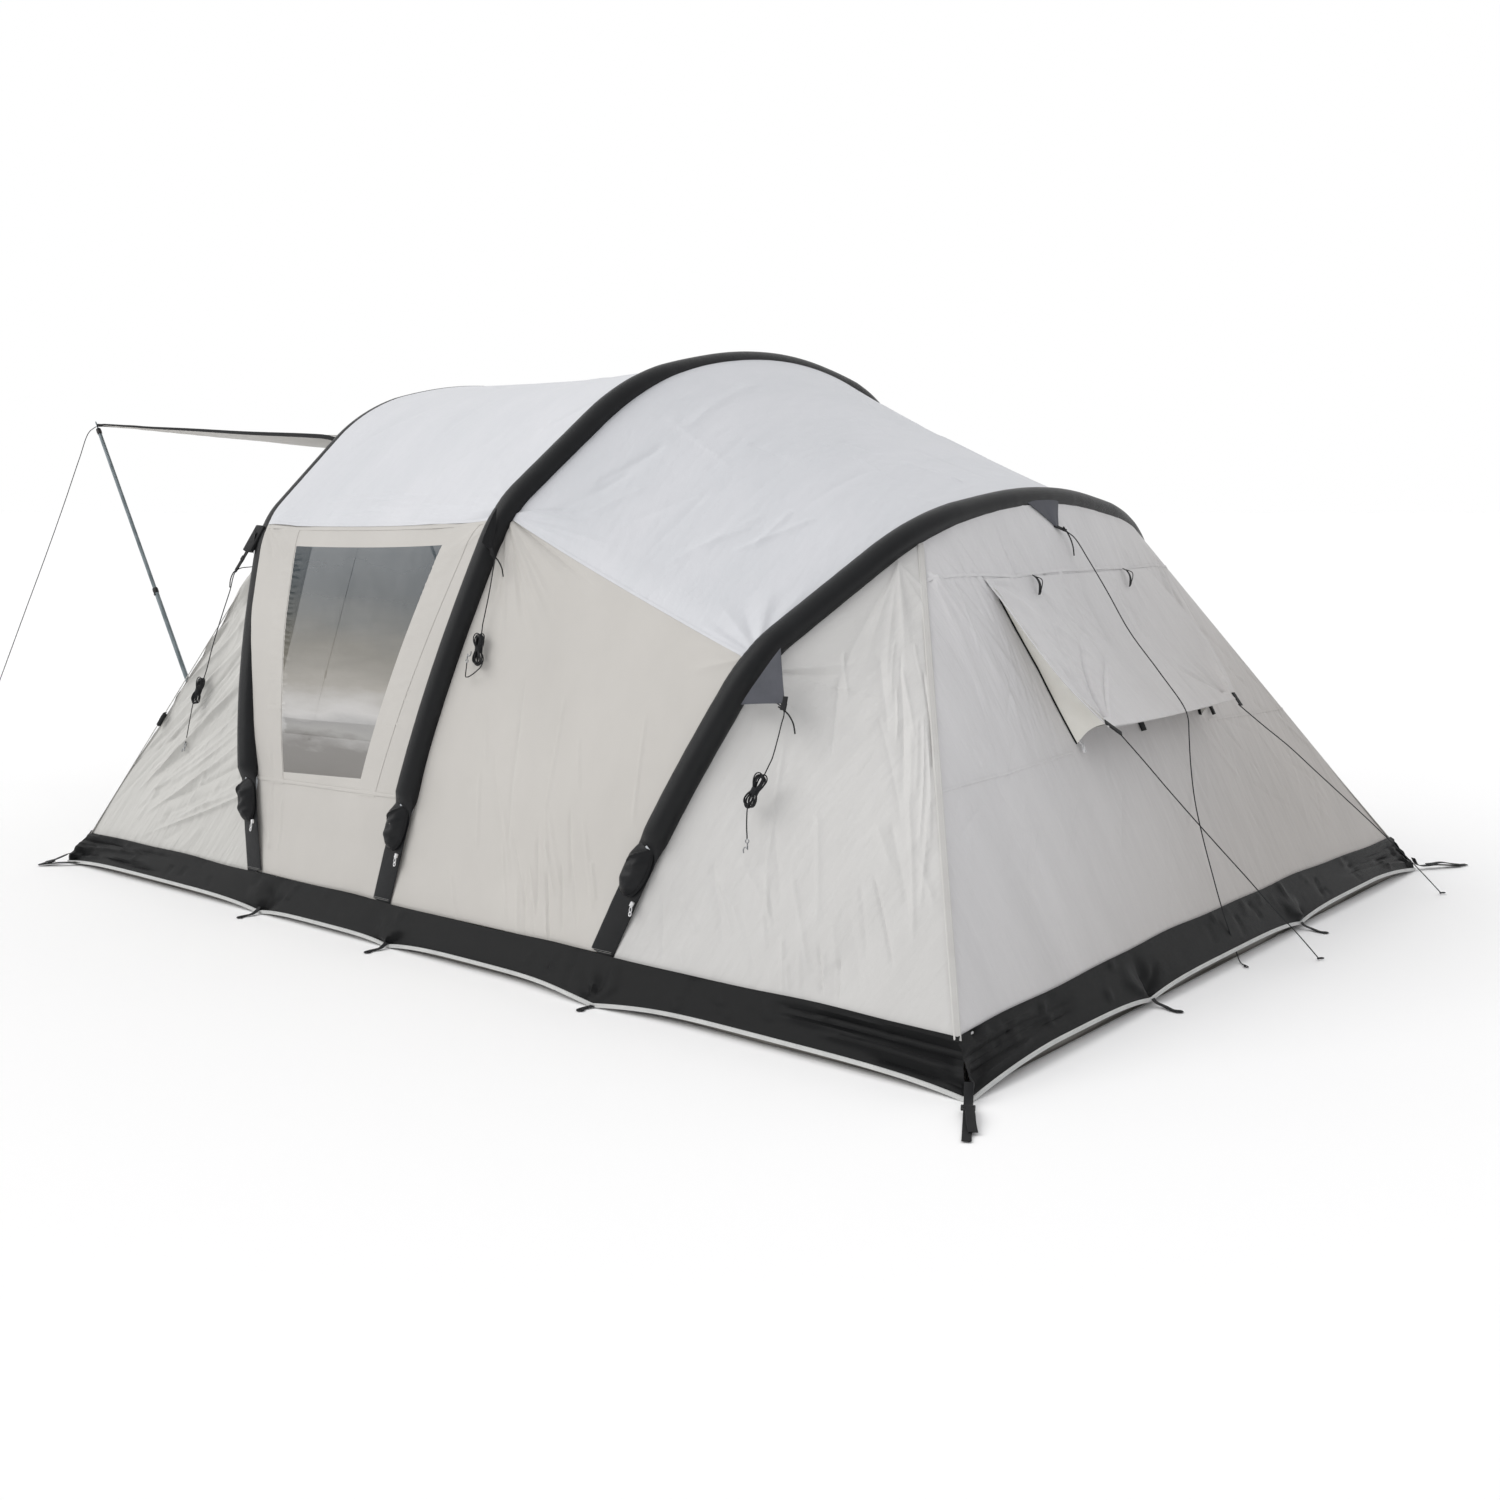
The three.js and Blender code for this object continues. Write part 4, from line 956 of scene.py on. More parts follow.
# ---------------------------------------------------------------- sleeves and air tubes
SLEEVE_SIDES = 28
FOOT_TUBE_INSET = 0.050


def sleeve_part(arch):
    """The black sleeve: round where the tube fills it, a flat ribbon at its feet, puckered round its knees."""
    knee_stations = np.arange(LEG - 10, LEG + KNEE + 10)
    keep = np.unique(np.concatenate([np.arange(0, LAST + 1, 2), knee_stations, LAST - knee_stations]))
    axis = arch_line(arch)[keep]
    normal = np.tile(arch_normal(arch), (len(axis), 1))
    outward = -unit(np.cross(normal, unit(np.gradient(axis, axis=0))))
    # Outward is away from the middle of the tunnel
    outward = outward * np.sign((outward * (axis * (0, 1, 1) - (0, 0, 0.6))).sum(axis=1))[:, None]
    flat = 1 - smooth((axis[:, 2] - 0.455) / 0.07)
    along = arc_length(axis)
    near_knees = sum(np.exp(-((along - along[np.argmin(np.abs(keep - station))]) / 0.075) ** 2)
                     for station in (I_KNEE, LAST - I_KNEE))
    pucker = (0.0016 * near_knees * np.sin(along * 2 * np.pi / 0.026) + 0.0005 * np.sin(along * 47)
              + 0.0005 * np.sin(along * 81 + 1))
    angles = np.arange(SLEEVE_SIDES) * 2 * np.pi / SLEEVE_SIDES
    inner_side = 0.5 - 0.5 * np.sin(angles)
    across_r = SLEEVE_R * (1 + 0.02 * flat) + pucker * 0.4
    out_r = (SLEEVE_R * (1 - flat) + 0.0035 * flat)[:, None] + (pucker * (1 - flat))[:, None] * inner_side * 1.3
    ring = (axis[:, None] + normal[:, None] * (np.cos(angles) * across_r[:, None])[..., None]
            + outward[:, None] * (np.sin(angles) * out_r + 0.004 * flat[:, None])[..., None])
    return ring.reshape(-1, 3), ring_faces(np.arange(ring.shape[0] * SLEEVE_SIDES).reshape(-1, SLEEVE_SIDES))


def air_tube_part(arch):
    """The air tube, which shows inside the tent, where the sleeve ends above the groundsheet."""
    inset = FOOT_TUBE_INSET * (1 - smooth((arch_profile(arch)[:, 1] - 0.40) / 0.14))
    core = arch_line(arch, inset)[::3]
    ends = []
    for end, nxt in ((core[0], core[1]), (core[-1], core[-2])):
        step = unit(end - nxt)
        ends.append([end + step * s for s in np.linspace(0, (end[2] - 0.022) / -step[2], 8)[1:]])
    core = np.concatenate([ends[0][::-1], core, ends[1]])
    ease = np.ones(len(core))
    ease[:3] = ease[-3:][::-1] = (0.35, 0.8, 0.95)
    return tube_part(core, TUBE_R, 16, scale=ease)


for name, arch in ARCHES.items():
    piece(f"beam_sleeve_{name}_cloth", sleeve_part(arch), "sleeve", "black_cloth", replaces=[f"beam_sleeve_{name}"],
          sharp=60)
    piece(f"air_tube_{name}_skin", air_tube_part(arch), "tpu", "air_tube_film", replaces=[f"air_tube_{name}"],
          sharp=60)

# ---------------------------------------------------------------- rear end
edge_rear = EDGES["rear", 1]
shoulder_rear = edge_rear[I_SHOULDER:LAST - I_SHOULDER + 1]


def rear_wing(side_name, side):
    """The triangle between the rear arch's leg and the rear wall's corner, and the seam down that corner."""
    edge = at(edge_rear, np.linspace(0, I_SHOULDER, 300))
    corner, top = np.array([WALL_X, -WALL_Y, WALL_Z]), edge[-1]
    seam_top = lerp(top, corner, 0.012)
    t = (edge[:, 2] - WALL_Z) / (top[2] - WALL_Z)
    seam = lerp(corner, seam_top, t[:, None])
    across = np.linspace(0, 1, 230)[None, :]
    base = lerp(edge[:, None], seam[:, None], across[..., None])
    # The flat cut: x across from the arch, y up from the skirt
    width = np.linalg.norm(seam - edge, axis=1)
    x = width[:, None] * across
    y = np.broadcast_to(arc_length(edge)[:, None], x.shape)
    gen = np.random.default_rng(21)
    apex = np.searchsorted(t, 0.93)
    lines = fan(gen, width[apex] * 0.4, y[apex, 0], -72, -40, 12, 1.1, 0.0020, 0.008)
    lines += fan(gen, 0.02, 1.02, -70, 10, 12, 0.5, 0.0022, 0.006)
    lines += scatter(gen, (0.22, 0.62), (0.75, 1.35), (-66, -50), 14, 0.5, 0.0016, 0.005)
    lines += scatter(gen, (0.2, 0.9), (0.06, 0.40), (-58, -44), 16, 0.4, 0.0018, 0.006)
    lines += scatter(gen, (0.1, 0.9), (0.1, 0.6), (-60, -35), 12, 0.35, 0.0018, 0.011)
    lines += scatter(gen, (0.3, 0.9), (0.5, 1.1), (-66, -46), 12, 0.5, 0.0018, 0.010)
    hold = smooth(across / 0.04) * smooth((1 - across) / 0.02) * smooth(t[:, None] / 0.03)
    points = wrinkled(base, x, y, lines, 31, 0.0024, 0.6, hold) * (1, side, 1)
    wing = piece(f"rear_wing_{side_name}_cloth", grid_part(points, flip=side < 0), "wing", "wall_cloth",
                 replaces=[f"rear_wing_{side_name}"])
    declare_sheet(base)
    # A folded edge with two stitched rows
    run = lerp(corner, seam_top, np.linspace(0, 0.985, 60)[:, None]) * (1, side, 1)
    out = unit((0.75, -0.62 * side, 0.35))
    shift = unit(np.cross(unit(run[-1] - run[0]), out))
    tapes = [strip_part(run + out * 0.001, 0.022, 0.0024, out)]
    tapes += [tube_part(run + out * 0.0034 + shift * s, 0.0009, 5) for s in (-0.007, 0.007)]
    piece(f"corner_seam_{side_name}", tapes, "tape", "wall_cloth")


def rear_base(c, w):
    """The rear wall: c from -1 to 1 across, w from 0 at the skirt to 1 at the arch."""
    c, w = np.broadcast_arrays(np.asarray(c, float), np.asarray(w, float))
    top = along_line(c * abs(shoulder_rear[0, 1]), shoulder_rear[:, 1], shoulder_rear)
    foot = np.stack([np.full(c.shape, WALL_X), c * WALL_Y, np.full(c.shape, WALL_Z)], axis=-1)
    return lerp(foot, top, w[..., None])


def rear_lines():
    """Creases of the rear wall, laid flat: x across from its middle, y up from the skirt."""
    gen = np.random.default_rng(41)
    lines = scatter(gen, (-0.9, -0.1), (1.15, 1.3), (85, 112), 16, 0.3, 0.0020, 0.009)
    lines += scatter(gen, (0.1, 0.9), (1.15, 1.3), (68, 95), 12, 0.3, 0.0016, 0.009)
    lines += fan(gen, -0.80, 1.45, -95, -60, 10, 0.9, 0.0022)
    lines += scatter(gen, (-1.35, -0.75), (0.25, 0.95), (20, 50), 12, 0.3, 0.0016, 0.010)
    lines += fan(gen, 0.80, 1.45, -85, -120, 10, 0.9, 0.0022)
    lines += scatter(gen, (0.75, 1.35), (0.25, 0.95), (130, 160), 12, 0.3, 0.0016, 0.010)
    lines += scatter(gen, (-1.2, 1.2), (0.05, 0.55), (35, 75), 16, 0.35, 0.0014, 0.007)
    lines += scatter(gen, (-0.75, 0.2), (1.22, 1.42), (82, 110), 26, 0.26, 0.0014, 0.005)
    lines += scatter(gen, (-1.3, -0.6), (0.5, 1.2), (70, 84), 18, 0.45, 0.0013, 0.006)
    return lines + scatter(gen, (0.5, 1.5), (0.1, 0.7), (100, 130), 18, 0.45, 0.0014, 0.006)


REAR_LINES = rear_lines()
REAR_HEIGHT = 1.62


def rear_surface(c, w, extra=0.0):
    """The finished rear wall and its outward normals, pushed out by extra."""
    c, w = np.broadcast_arrays(np.asarray(c, float), np.asarray(w, float))
    point = rear_base(c, w)
    e = 0.004
    across = rear_base(np.clip(c + e, -1, 1), w) - rear_base(np.clip(c - e, -1, 1), w)
    upward = rear_base(c, np.clip(w + e, 0, 1)) - rear_base(c, np.clip(w - e, 0, 1))
    normal = unit(np.cross(across, upward))
    x, y = point[..., 1], w * REAR_HEIGHT
    hold = smooth((1 - np.abs(c)) / 0.03) * smooth(w / 0.03) * smooth((1 - w) / 0.03)
    height = crease_field(x, y, REAR_LINES) + swell(x, y, 42, 0.0024, 0.7)
    return point + normal * (height * hold + extra)[..., None], normal


def solve_cw(y, z):
    """The (c, w) of the rear wall's point with that y and z."""
    c, w = 0.3 * np.sign(y), 0.6
    for _ in range(40):
        p, pc, pw = rear_base(c, w), rear_base(c + 1e-3, w), rear_base(c, w + 1e-3)
        jac = np.array([[(pc - p)[1], (pw - p)[1]], [(pc - p)[2], (pw - p)[2]]]) / 1e-3
        step = np.linalg.solve(jac, np.array([y, z]) - p[1:])
        c, w = float(np.clip(c + step[0], -1, 1)), float(np.clip(w + step[1], 0, 1))
    return c, w


def rear_spot(y, z, lift):
    """The point and normal of the rear wall at that y and z."""
    return rear_surface(*solve_cw(y, z), lift)


def rear_route(route, stops, samples, lift):
    """A line on the rear wall through a few (y, z), with the wall's normals along it."""
    found = np.array([solve_cw(y, z) for y, z in route])
    return rear_surface(np.interp(samples, stops, found[:, 0]), np.interp(samples, stops, found[:, 1]), lift)


def rear_wall():
    """The rear wall with its window, and the seams across it."""
    corners = [solve_cw(y, z) for y, z in REAR_WINDOW]
    grid, hole = lattice(window_net(corners, -1, 1, 0, 1, corners[3][0], corners[2][0]), (116, 96, 116),
                         (120, 70, 62))
    points, _ = rear_surface(grid[..., 0], grid[..., 1])
    wall = piece("rear_wall_cloth", grid_part(points, hole=hole), "rear", "roof_cloth", replaces=["rear_wall"])
    film_points, wall_share = pane_of(points, hole)
    declare_sheet(points, share=wall_share)
    pane = piece("rear_window_film", grid_part(film_points), "film", "clear_film", replaces=["rear_window"])
    declare_sheet(film_points)
    # The strip that the flap hangs from, and a seam to each side of the window
    stops = (-0.86, -0.43, 0.001, 0.43, 0.86)
    seam, normal = rear_route([(y, 1.300 - 0.02 * abs(y)) for y in stops], stops, np.linspace(-0.86, 0.86, 90),
                              0.0005)
    tapes = [strip_part(seam, 0.013, 0.0016, normal)]
    for side in (-1, 1):
        route = [(side * y, z) for y, z in ((1.30, 0.700), (0.93, 0.716), (0.52, 0.734))]
        seam, normal = rear_route(route, (0, 0.5, 1), np.linspace(0, 1, 40), 0.0004)
        tapes.append(strip_part(seam, 0.010, 0.0012, normal))
    piece("rear_wall_seams", tapes, "rear", "roof_cloth")


for side_name, side in MIRRORS:
    rear_wing(side_name, side)
rear_wall()

# ---------------------------------------------------------------- cover flap: sewn along its top, propped at its lower corners
FLAP_STATIONS = 120
FLAP_TOP_LINE = resample(np.array([rear_spot(y, 1.287, 0.004)[0] for y in np.linspace(-FLAP_HALVES[0], FLAP_HALVES[0],
        13)]),
                         FLAP_STATIONS)
FLAP_OUT = unit((0.7, 0, 0.7))


def flap_base(v, s):
    """v from -1 to 1 across, s from 0 at the sewn edge to 1 at the hem."""
    v, s = np.broadcast_arrays(np.asarray(v, float), np.asarray(s, float))
    top = along_line((v + 1) / 2 * (FLAP_STATIONS - 1), np.arange(FLAP_STATIONS), FLAP_TOP_LINE)
    hem_drop = 0.004 - 0.016 * (1 - v ** 2)
    low = np.stack([FLAP_BOTTOM[0] - 0.012 * (1 - v ** 2), v * FLAP_HALVES[1], FLAP_BOTTOM[1] + hem_drop * 0.6],
                   axis=-1)
    # The cloth hangs through in its middle, and its sides pull in between the corners
    corner = np.abs(v) ** 3
    belly = (0.012 * corner - 0.030 * (1 - corner)) * np.sin(np.pi * s)
    pull = 0.066 * np.sin(np.pi * s ** 1.35) * np.sign(v) * corner
    return lerp(top, low, s[..., None]) + np.stack([belly * 0.8, pull, belly * 0.6], axis=-1)


def cover_flap():
    s, v = spread((0, 1, 170), (-1, 1, 270))
    gen = np.random.default_rng(51)
    lines = fan(gen, -0.50, 0.59, -96, -34, 17, 0.55, 0.0036, 0.006)
    lines += fan(gen, 0.50, 0.59, -142, -88, 12, 0.42, 0.0030, 0.006)
    lines += scatter(gen, (-0.5, -0.1), (0.0, 0.35), (50, 80), 16, 0.3, 0.0018, 0.006)
    lines += fan(gen, -0.53, 0.0, 20, 75, 7, 0.4, 0.0022, 0.011)
    lines += scatter(gen, (-0.4, 0.4), (0.02, 0.12), (80, 100), 12, 0.25, 0.0022, 0.010)
    points = wrinkled(flap_base(v, s), v * 0.54, s * 0.60, lines, 52, 0.0026, 0.4, smooth(s / 0.05))
    flap = piece("rear_flap_cloth", grid_part(points, 0.0022, flip=True), "rear", "roof_cloth", body="rear_flap",
                 replaces=["rear_window_flap"])
    declare_sheet(points)
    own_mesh(flap)
    # Hem band and corner tabs
    hem_up = unit((0.62, 0, 0.78))
    hem = flap_base(np.linspace(-1, 1, 80), 0.965) + hem_up * 0.0004
    trim = piece("rear_flap_hem", [strip_part(hem, 0.042, 0.0018, hem_up)], "rear", "roof_cloth", body=None)
    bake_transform(trim)
    tabs = []
    for v, cord_route in ((-1, FLAP_NEAR), (1, FLAP_FAR)):
        corner, first, second = flap_base(v * 0.985, 0.985), np.array(cord_route[0]), np.array(cord_route[1])
        end = first + unit(second - first) * 0.012
        start = corner + unit(corner - end) * 0.018
        tabs.append(strip_part(np.linspace(start, end, 8) + FLAP_OUT * 0.003, 0.024, 0.003, FLAP_OUT))
    piece("rear_flap_tabs", tabs, "webbing", "black_cloth", body="rear_flap")


def wall_loops():
    """A toggle and a hook and loop square behind the flap, and the two tie loops above."""
    parts = []
    for (y, z), lift in (((0.560, 0.780), 0.003), ((-0.010, 0.765), 0.003)):
        p, n = rear_spot(y, z, lift)
        up = unit(Z_UP - n * n[2])
        if y > 0.1:
            strap = np.array([p + up * 0.05, p + up * 0.02 + n * 0.006, p - up * 0.012 + n * 0.010])
            parts.append(strip_part(strap, 0.016, 0.003, n))
            parts.append(block_part(p - up * 0.02 + n * 0.010, [np.cross(n, up), n, up], (0.016, 0.010, 0.040), 0.45))
        else:
            parts.append(block_part(p, [np.cross(n, up), n, up], (0.034, 0.005, 0.034), 0.2))
    for y, z, lean in ((-0.325, 1.277, 0.02), (0.338, 1.278, 0.03)):
        p, n = rear_spot(y, z, 0.012)
        up = unit(Z_UP - n * n[2])
        across = np.cross(n, up)
        band = dense([p + up * 0.012, p + n * 0.012 - up * 0.006 + across * 0.004,
                      p + n * 0.016 - up * 0.03 + across * lean * 0.4, p + n * 0.012 - up * 0.056 + across * lean,
                      p + n * 0.006 - up * 0.062 + across * lean], 18)
        string = dense([p + up * 0.004 + n * 0.008, p + n * 0.026 - up * 0.016,
                        p + n * 0.024 - up * 0.044 + across * lean * 0.8, p + n * 0.01 - up * 0.058 + across * lean], 14)
        parts += [strip_part(band, 0.013, 0.0022, n), tube_part(string, 0.0016, 6)]
    piece("rear_wall_loops", parts, "webbing", "black_cloth")


def flap_side(side_name, side):
    """The zip at one side of the rear window, and the cream gusset between it and the flap."""
    count = 70
    down = np.linspace(0, 1, count)
    route = [(side * y, z) for y, z in ((0.548, 1.225), (0.510, 1.00), (0.471, 0.757))]
    zip_line, normal = rear_route(route, (0, 0.5, 1), down, 0.001)
    across = np.cross(normal, unit(np.gradient(zip_line, axis=0)))
    rows = [tube_part(zip_line + normal * 0.0034 + across * s, 0.0017, 6) for s in (-0.0022, 0.0022)]
    piece(f"rear_zip_{side_name}", [strip_part(zip_line, 0.020, 0.0026, normal)] + rows, "webbing", "black_cloth")
    flap_edge = flap_base(side * 0.975, np.linspace(0.06, 0.985, count))
    t, down = np.linspace(0, 1, 22)[None, :], down[:, None]
    gusset = lerp((zip_line + normal * 0.003 + across * side * 0.004)[:, None], flap_edge[:, None], t[..., None])
    deep = np.sin(np.pi * t) * down ** 1.2
    gusset = gusset + np.array([-0.012, -side * 0.010, 0.0]) * deep[..., None]
    # The lower edge sweeps up between the slider and the flap's corner
    gusset[..., 2] += np.sin(np.pi * t * 0.9) * smooth((down - 0.7) / 0.3) * 0.016
    gusset = gusset + np.array([1.0, 0, 0.4]) * (0.0015 * np.sin(down * 34 + t * 5) * np.sin(np.pi * t))[..., None]
    panel = piece(f"rear_gusset_{side_name}", grid_part(gusset, flip=side < 0), "lining", "inner_cloth")
    declare_sheet(gusset)
    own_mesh(panel)


cover_flap()
wall_loops()
for side_name, side in Y_SIGNS:
    flap_side(side_name, side)
pull_side, pull_along = unit((0.1, 1.0, 0.1)), unit((0.3, 0, -1.0))
pull_tab = block_part((1.884, -0.470, 0.744), [pull_side, unit(np.cross(pull_side, pull_along)), pull_along],
                      (0.012, 0.005, 0.032), 0.35)
piece("rear_zip_pull_tab", [pull_tab], "bright", "bright_metal", body="rear_zip")

# ---------------------------------------------------------------- door end
edge_front = EDGES["front", -1]
knees_front = slice(I_KNEE, LAST - I_KNEE + 1)


def corner_lines(gen):
    """Tension creases that run from the front beam down to the corner, and the folds below its knee."""
    lines = []
    for _ in range(44):
        y0, reach, x0 = gen.uniform(0.30, 1.32), gen.uniform(0.5, 1.0), gen.uniform(0.0, 0.06)
        tx, ty = 1.12 - 0.55 * max(0, 0.9 - y0), 0.25 * y0 * gen.uniform(0.2, 1.2)
        lines.append((x0, y0, x0 + (tx - x0) * reach, y0 + (ty - y0) * reach,
                      0.0034 * gen.uniform(0.3, 1.0) * gen.choice([1, 1, -1]), 0.0065 * gen.uniform(0.8, 1.6), False))
    lines += fan(gen, 0.0, 1.32, -88, -30, 12, 0.7, 0.0034)
    return lines + scatter(gen, (0.2, 0.8), (0.1, 0.45), (-50, -25), 10, 0.25, 0.0022)


def front_corner(side_name, side):
    """The panel from the front beam round the corner to the doorway, its seam, and the doorway's bound edge."""
    edge = at(edge_front, np.linspace(0, I_KNEE, 260))
    corner, foot = np.array([-WALL_X, -WALL_Y, WALL_Z]), np.array([-WALL_X, -DOOR_HALF, WALL_Z])
    seam_top = lerp(edge[-1], corner, 0.03)
    t = ((edge[:, 2] - WALL_Z) / (edge[-1, 2] - WALL_Z))[:, None]
    seam, jamb = lerp(corner, seam_top, t), lerp(foot, np.array(DOOR_TOP) * (1, -1, 1), t)
    left, right = np.linspace(0, 1, 190)[None, :], np.linspace(0, 1, 100)[None, 1:]
    side_part = lerp(edge[:, None], seam[:, None], left[..., None])
    side_part = side_part + np.array([0.3, 0.9, -0.2]) * (np.sin(np.pi * left) * np.sin(np.pi * t) * 0.018)[..., None]
    end_part = lerp(seam[:, None], jamb[:, None], right[..., None])
    end_part = end_part + np.array([0.9, 0.1, -0.2]) * (np.sin(np.pi * right) * np.sin(np.pi * t) * 0.012)[..., None]
    base = np.concatenate([side_part, end_part], axis=1)[:, ::-1]
    width, end_width = (np.linalg.norm(b - a, axis=1)[:, None] for a, b in ((edge, seam), (seam, jamb)))
    x = np.concatenate([width * left, width + end_width * right], axis=1)[:, ::-1]
    y = np.broadcast_to(arc_length(edge)[:, None], x.shape)
    hold = smooth(np.abs(x) / 0.03) * smooth(t / 0.03)
    points = wrinkled(base, x, y, corner_lines(np.random.default_rng(61)), 62, 0.0024, 0.5, hold) * (1, side, 1)
    panel = piece(f"front_corner_{side_name}_cloth", grid_part(points, flip=side < 0), "corner", "wall_cloth",
                  replaces=[f"front_corner_{side_name}"])
    declare_sheet(base)
    jamb_line, out = points[::2, 0], unit((-0.9, 0, 0.4))
    piece(f"door_edge_{side_name}", [strip_part(jamb_line + out * 0.001, 0.026, 0.003, out),
                                     tube_part(jamb_line + out * 0.004 + np.array([0, 0.006, 0]) * side, 0.002, 6)],
          "webbing", "black_cloth")
    run = lerp(corner, seam_top, np.linspace(0, 0.97, 60)[:, None]) * (1, side, 1)
    out = unit((-0.7, -0.65 * side, 0.3))
    piece(f"front_seam_{side_name}", [strip_part(run + out * 0.001, 0.018, 0.0022, out)], "tape", "wall_cloth")


def seam_toggles():
    parts = []
    for _, side in MIRRORS:
        spot, along = np.array([-1.812, -1.556 * side, 0.636]), unit((-0.87, -0.36 * side, -1.30))
        out = -unit(np.cross(along, (0, 1, 0)))
        cord = dense([spot - along * 0.04, spot + out * 0.012 - along * 0.03, spot + out * 0.016,
                      spot + out * 0.012 + along * 0.03], 12)
        parts += [framed_block(spot + out * 0.004, out, along, (0.016, 0.014, 0.062), 0.45),
                  tube_part(cord, 0.0018, 6)]
    piece("front_seam_toggles", parts, "webbing", "black_cloth")


def door_header():
    """The narrow panel between the arch and the canopy."""
    span_y = np.linspace(-0.872, 0.872, 120)
    upper = edge_front[knees_front]
    top_line = along_line(span_y, upper[:, 1], upper)
    low_line = np.stack([np.full(120, CANOPY_HINGE[0] + 0.010), span_y,
                         np.minimum(CANOPY_HINGE[1], top_line[:, 2] - 0.004)], axis=-1)
    header = lerp(low_line[None], top_line[None], np.linspace(0, 1, 16)[:, None, None])
    y, x = np.meshgrid(np.linspace(0, 0.22, 16), span_y, indexing="ij")
    lines = scatter(np.random.default_rng(71), (-0.8, 0.8), (0, 0.1), (60, 120), 18, 0.15, 0.0016, 0.009)
    header = wrinkled(header, x, y, lines, 72, 0.0016, 0.4)
    obj = piece("door_header_cloth", grid_part(header, flip=True), "roof", "roof_cloth", replaces=["door_header"])
    declare_sheet(header)


def canopy_panel():
    """The raised door panel: taut between its webbing edges, sagging a little in the middle."""
    s, v = spread((0, 1, 110), (-1, 1, 100))
    middle = 1 - v ** 2
    half = CANOPY_HALVES[0] + (CANOPY_HALVES[1] - CANOPY_HALVES[0]) * s - 0.030 * np.sin(np.pi * s)
    x = CANOPY_HINGE[0] + (CANOPY_EDGE[0] - CANOPY_HINGE[0]) * s + 0.040 * s ** 6 * middle
    z = CANOPY_HINGE[1] + (CANOPY_EDGE[1] - CANOPY_HINGE[1]) * s \
        - (0.066 * np.sin(np.pi * s ** 0.7) + 0.018 * s ** 3) * middle
    gen = np.random.default_rng(81)
    lines = []
    for corner_x, corner_y, near, far, count, run, size in ((0.9, 1.8, (-85, -15), (-165, -95), 9, 1.0, 0.0030),
                                                            (0.88, 0.0, (10, 80), (100, 170), 7, 0.7, 0.0024)):
        lines += fan(gen, -corner_x, corner_y, *near, count, run, size)
        lines += fan(gen, corner_x, corner_y, *far, count, run, size)
    points = wrinkled(np.stack([x, v * half, z], axis=-1), v * 0.9, s * 1.81, lines, 82, 0.003, 0.8, smooth(s / 0.03))
    canopy = piece("door_canopy_cloth", grid_part(points, 0.0022), "wall", "wall_cloth", body="canopy",
                   replaces=["door_canopy"])
    declare_sheet(points)
    return points


EDGE_W, EDGE_T = 0.019, 0.0042


def canopy_edging(points):
    """Webbing round the canopy's free edges, narrower towards the tips, and on over the header to the beam."""
    beam = arch_line(ARCHES["front"])[knees_front]
    edges, header_bands = [], []
    for run, side in ((points[:, 0], -1), (points[:, -1], 1)):
        outward = (0.0, side, 0.0)
        edges.append(strip_part(run + (0, side * 0.001, -0.002), EDGE_W, EDGE_T, outward,
                                np.linspace(1, 0.42, len(run))))
        anchor = along_line(run[0, 1], beam[:, 1], beam)
        band = np.linspace(run[0] + (-0.002, side * 0.001, -0.002), lerp(run[0], anchor, 0.8) + (0, side * 0.001, 0),
                           8)
        header_bands.append(strip_part(band, EDGE_W, EDGE_T, outward))
    edges.append(strip_part(points[-1, ::2] + (-0.001, 0, -0.002), 0.010, 0.003, (-1.0, 0, 0)))
    piece("canopy_edge_webbing", edges, "webbing", "black_cloth", body="canopy")
    piece("door_header_webbing", header_bands, "webbing", "black_cloth")
    for (side_name, side), corner in zip(Y_SIGNS, points[-1, [0, -1]]):
        tip = np.array([-3.345, side * 0.900, 1.900])
        eyelet = ellipse(tip + (0, 0, 0.006), np.array([1, 0, 0.05]) * 0.0105, np.array([0, 0.0105, 0]), 20)
        tab = [corner + (0.05, -side * 0.02, -0.003), corner + (0.01, -side * 0.004, 0.002), tip + (0.012, 0, 0.003)]
        piece(f"canopy_tab_{side_name}", [strip_part(tab, 0.026, 0.003)], "webbing", "black_cloth", body="canopy")
        piece(f"canopy_eyelet_{side_name}", [tube_part(eyelet, 0.0026, 8, closed=True)], "bright", "bright_metal",
              body="canopy")


for side_name, side in MIRRORS:
    front_corner(side_name, side)
seam_toggles()
door_header()
canopy_edging(canopy_panel())

# ---------------------------------------------------------------- skirt, piping and groundsheet rim
SIDE_PEGS, FRONT_PEGS, REAR_PEGS = [-2.24, -0.862, -0.103, 0.933, 2.24], [-1.74, -0.72, 0.72, 1.74], [-1.74, -0.701,
        0.505, 1.74]
PEGS = {"near": SIDE_PEGS, "far": SIDE_PEGS, "rear": REAR_PEGS, "front": FRONT_PEGS}
RIM_INSET = 0.016


def scallop(position, pegs):
    """How far the piping stands above its low points at the pegs."""
    pegs = np.asarray(pegs)
    gap = np.clip(np.searchsorted(pegs, position) - 1, 0, len(pegs) - 2)
    low, high = pegs[gap], pegs[gap + 1]
    t = np.clip((position - low) / (high - low), 0, 1)
    return np.minimum(0.024, 0.022 * (high - low)) * (1 - (2 * t - 1) ** 4)


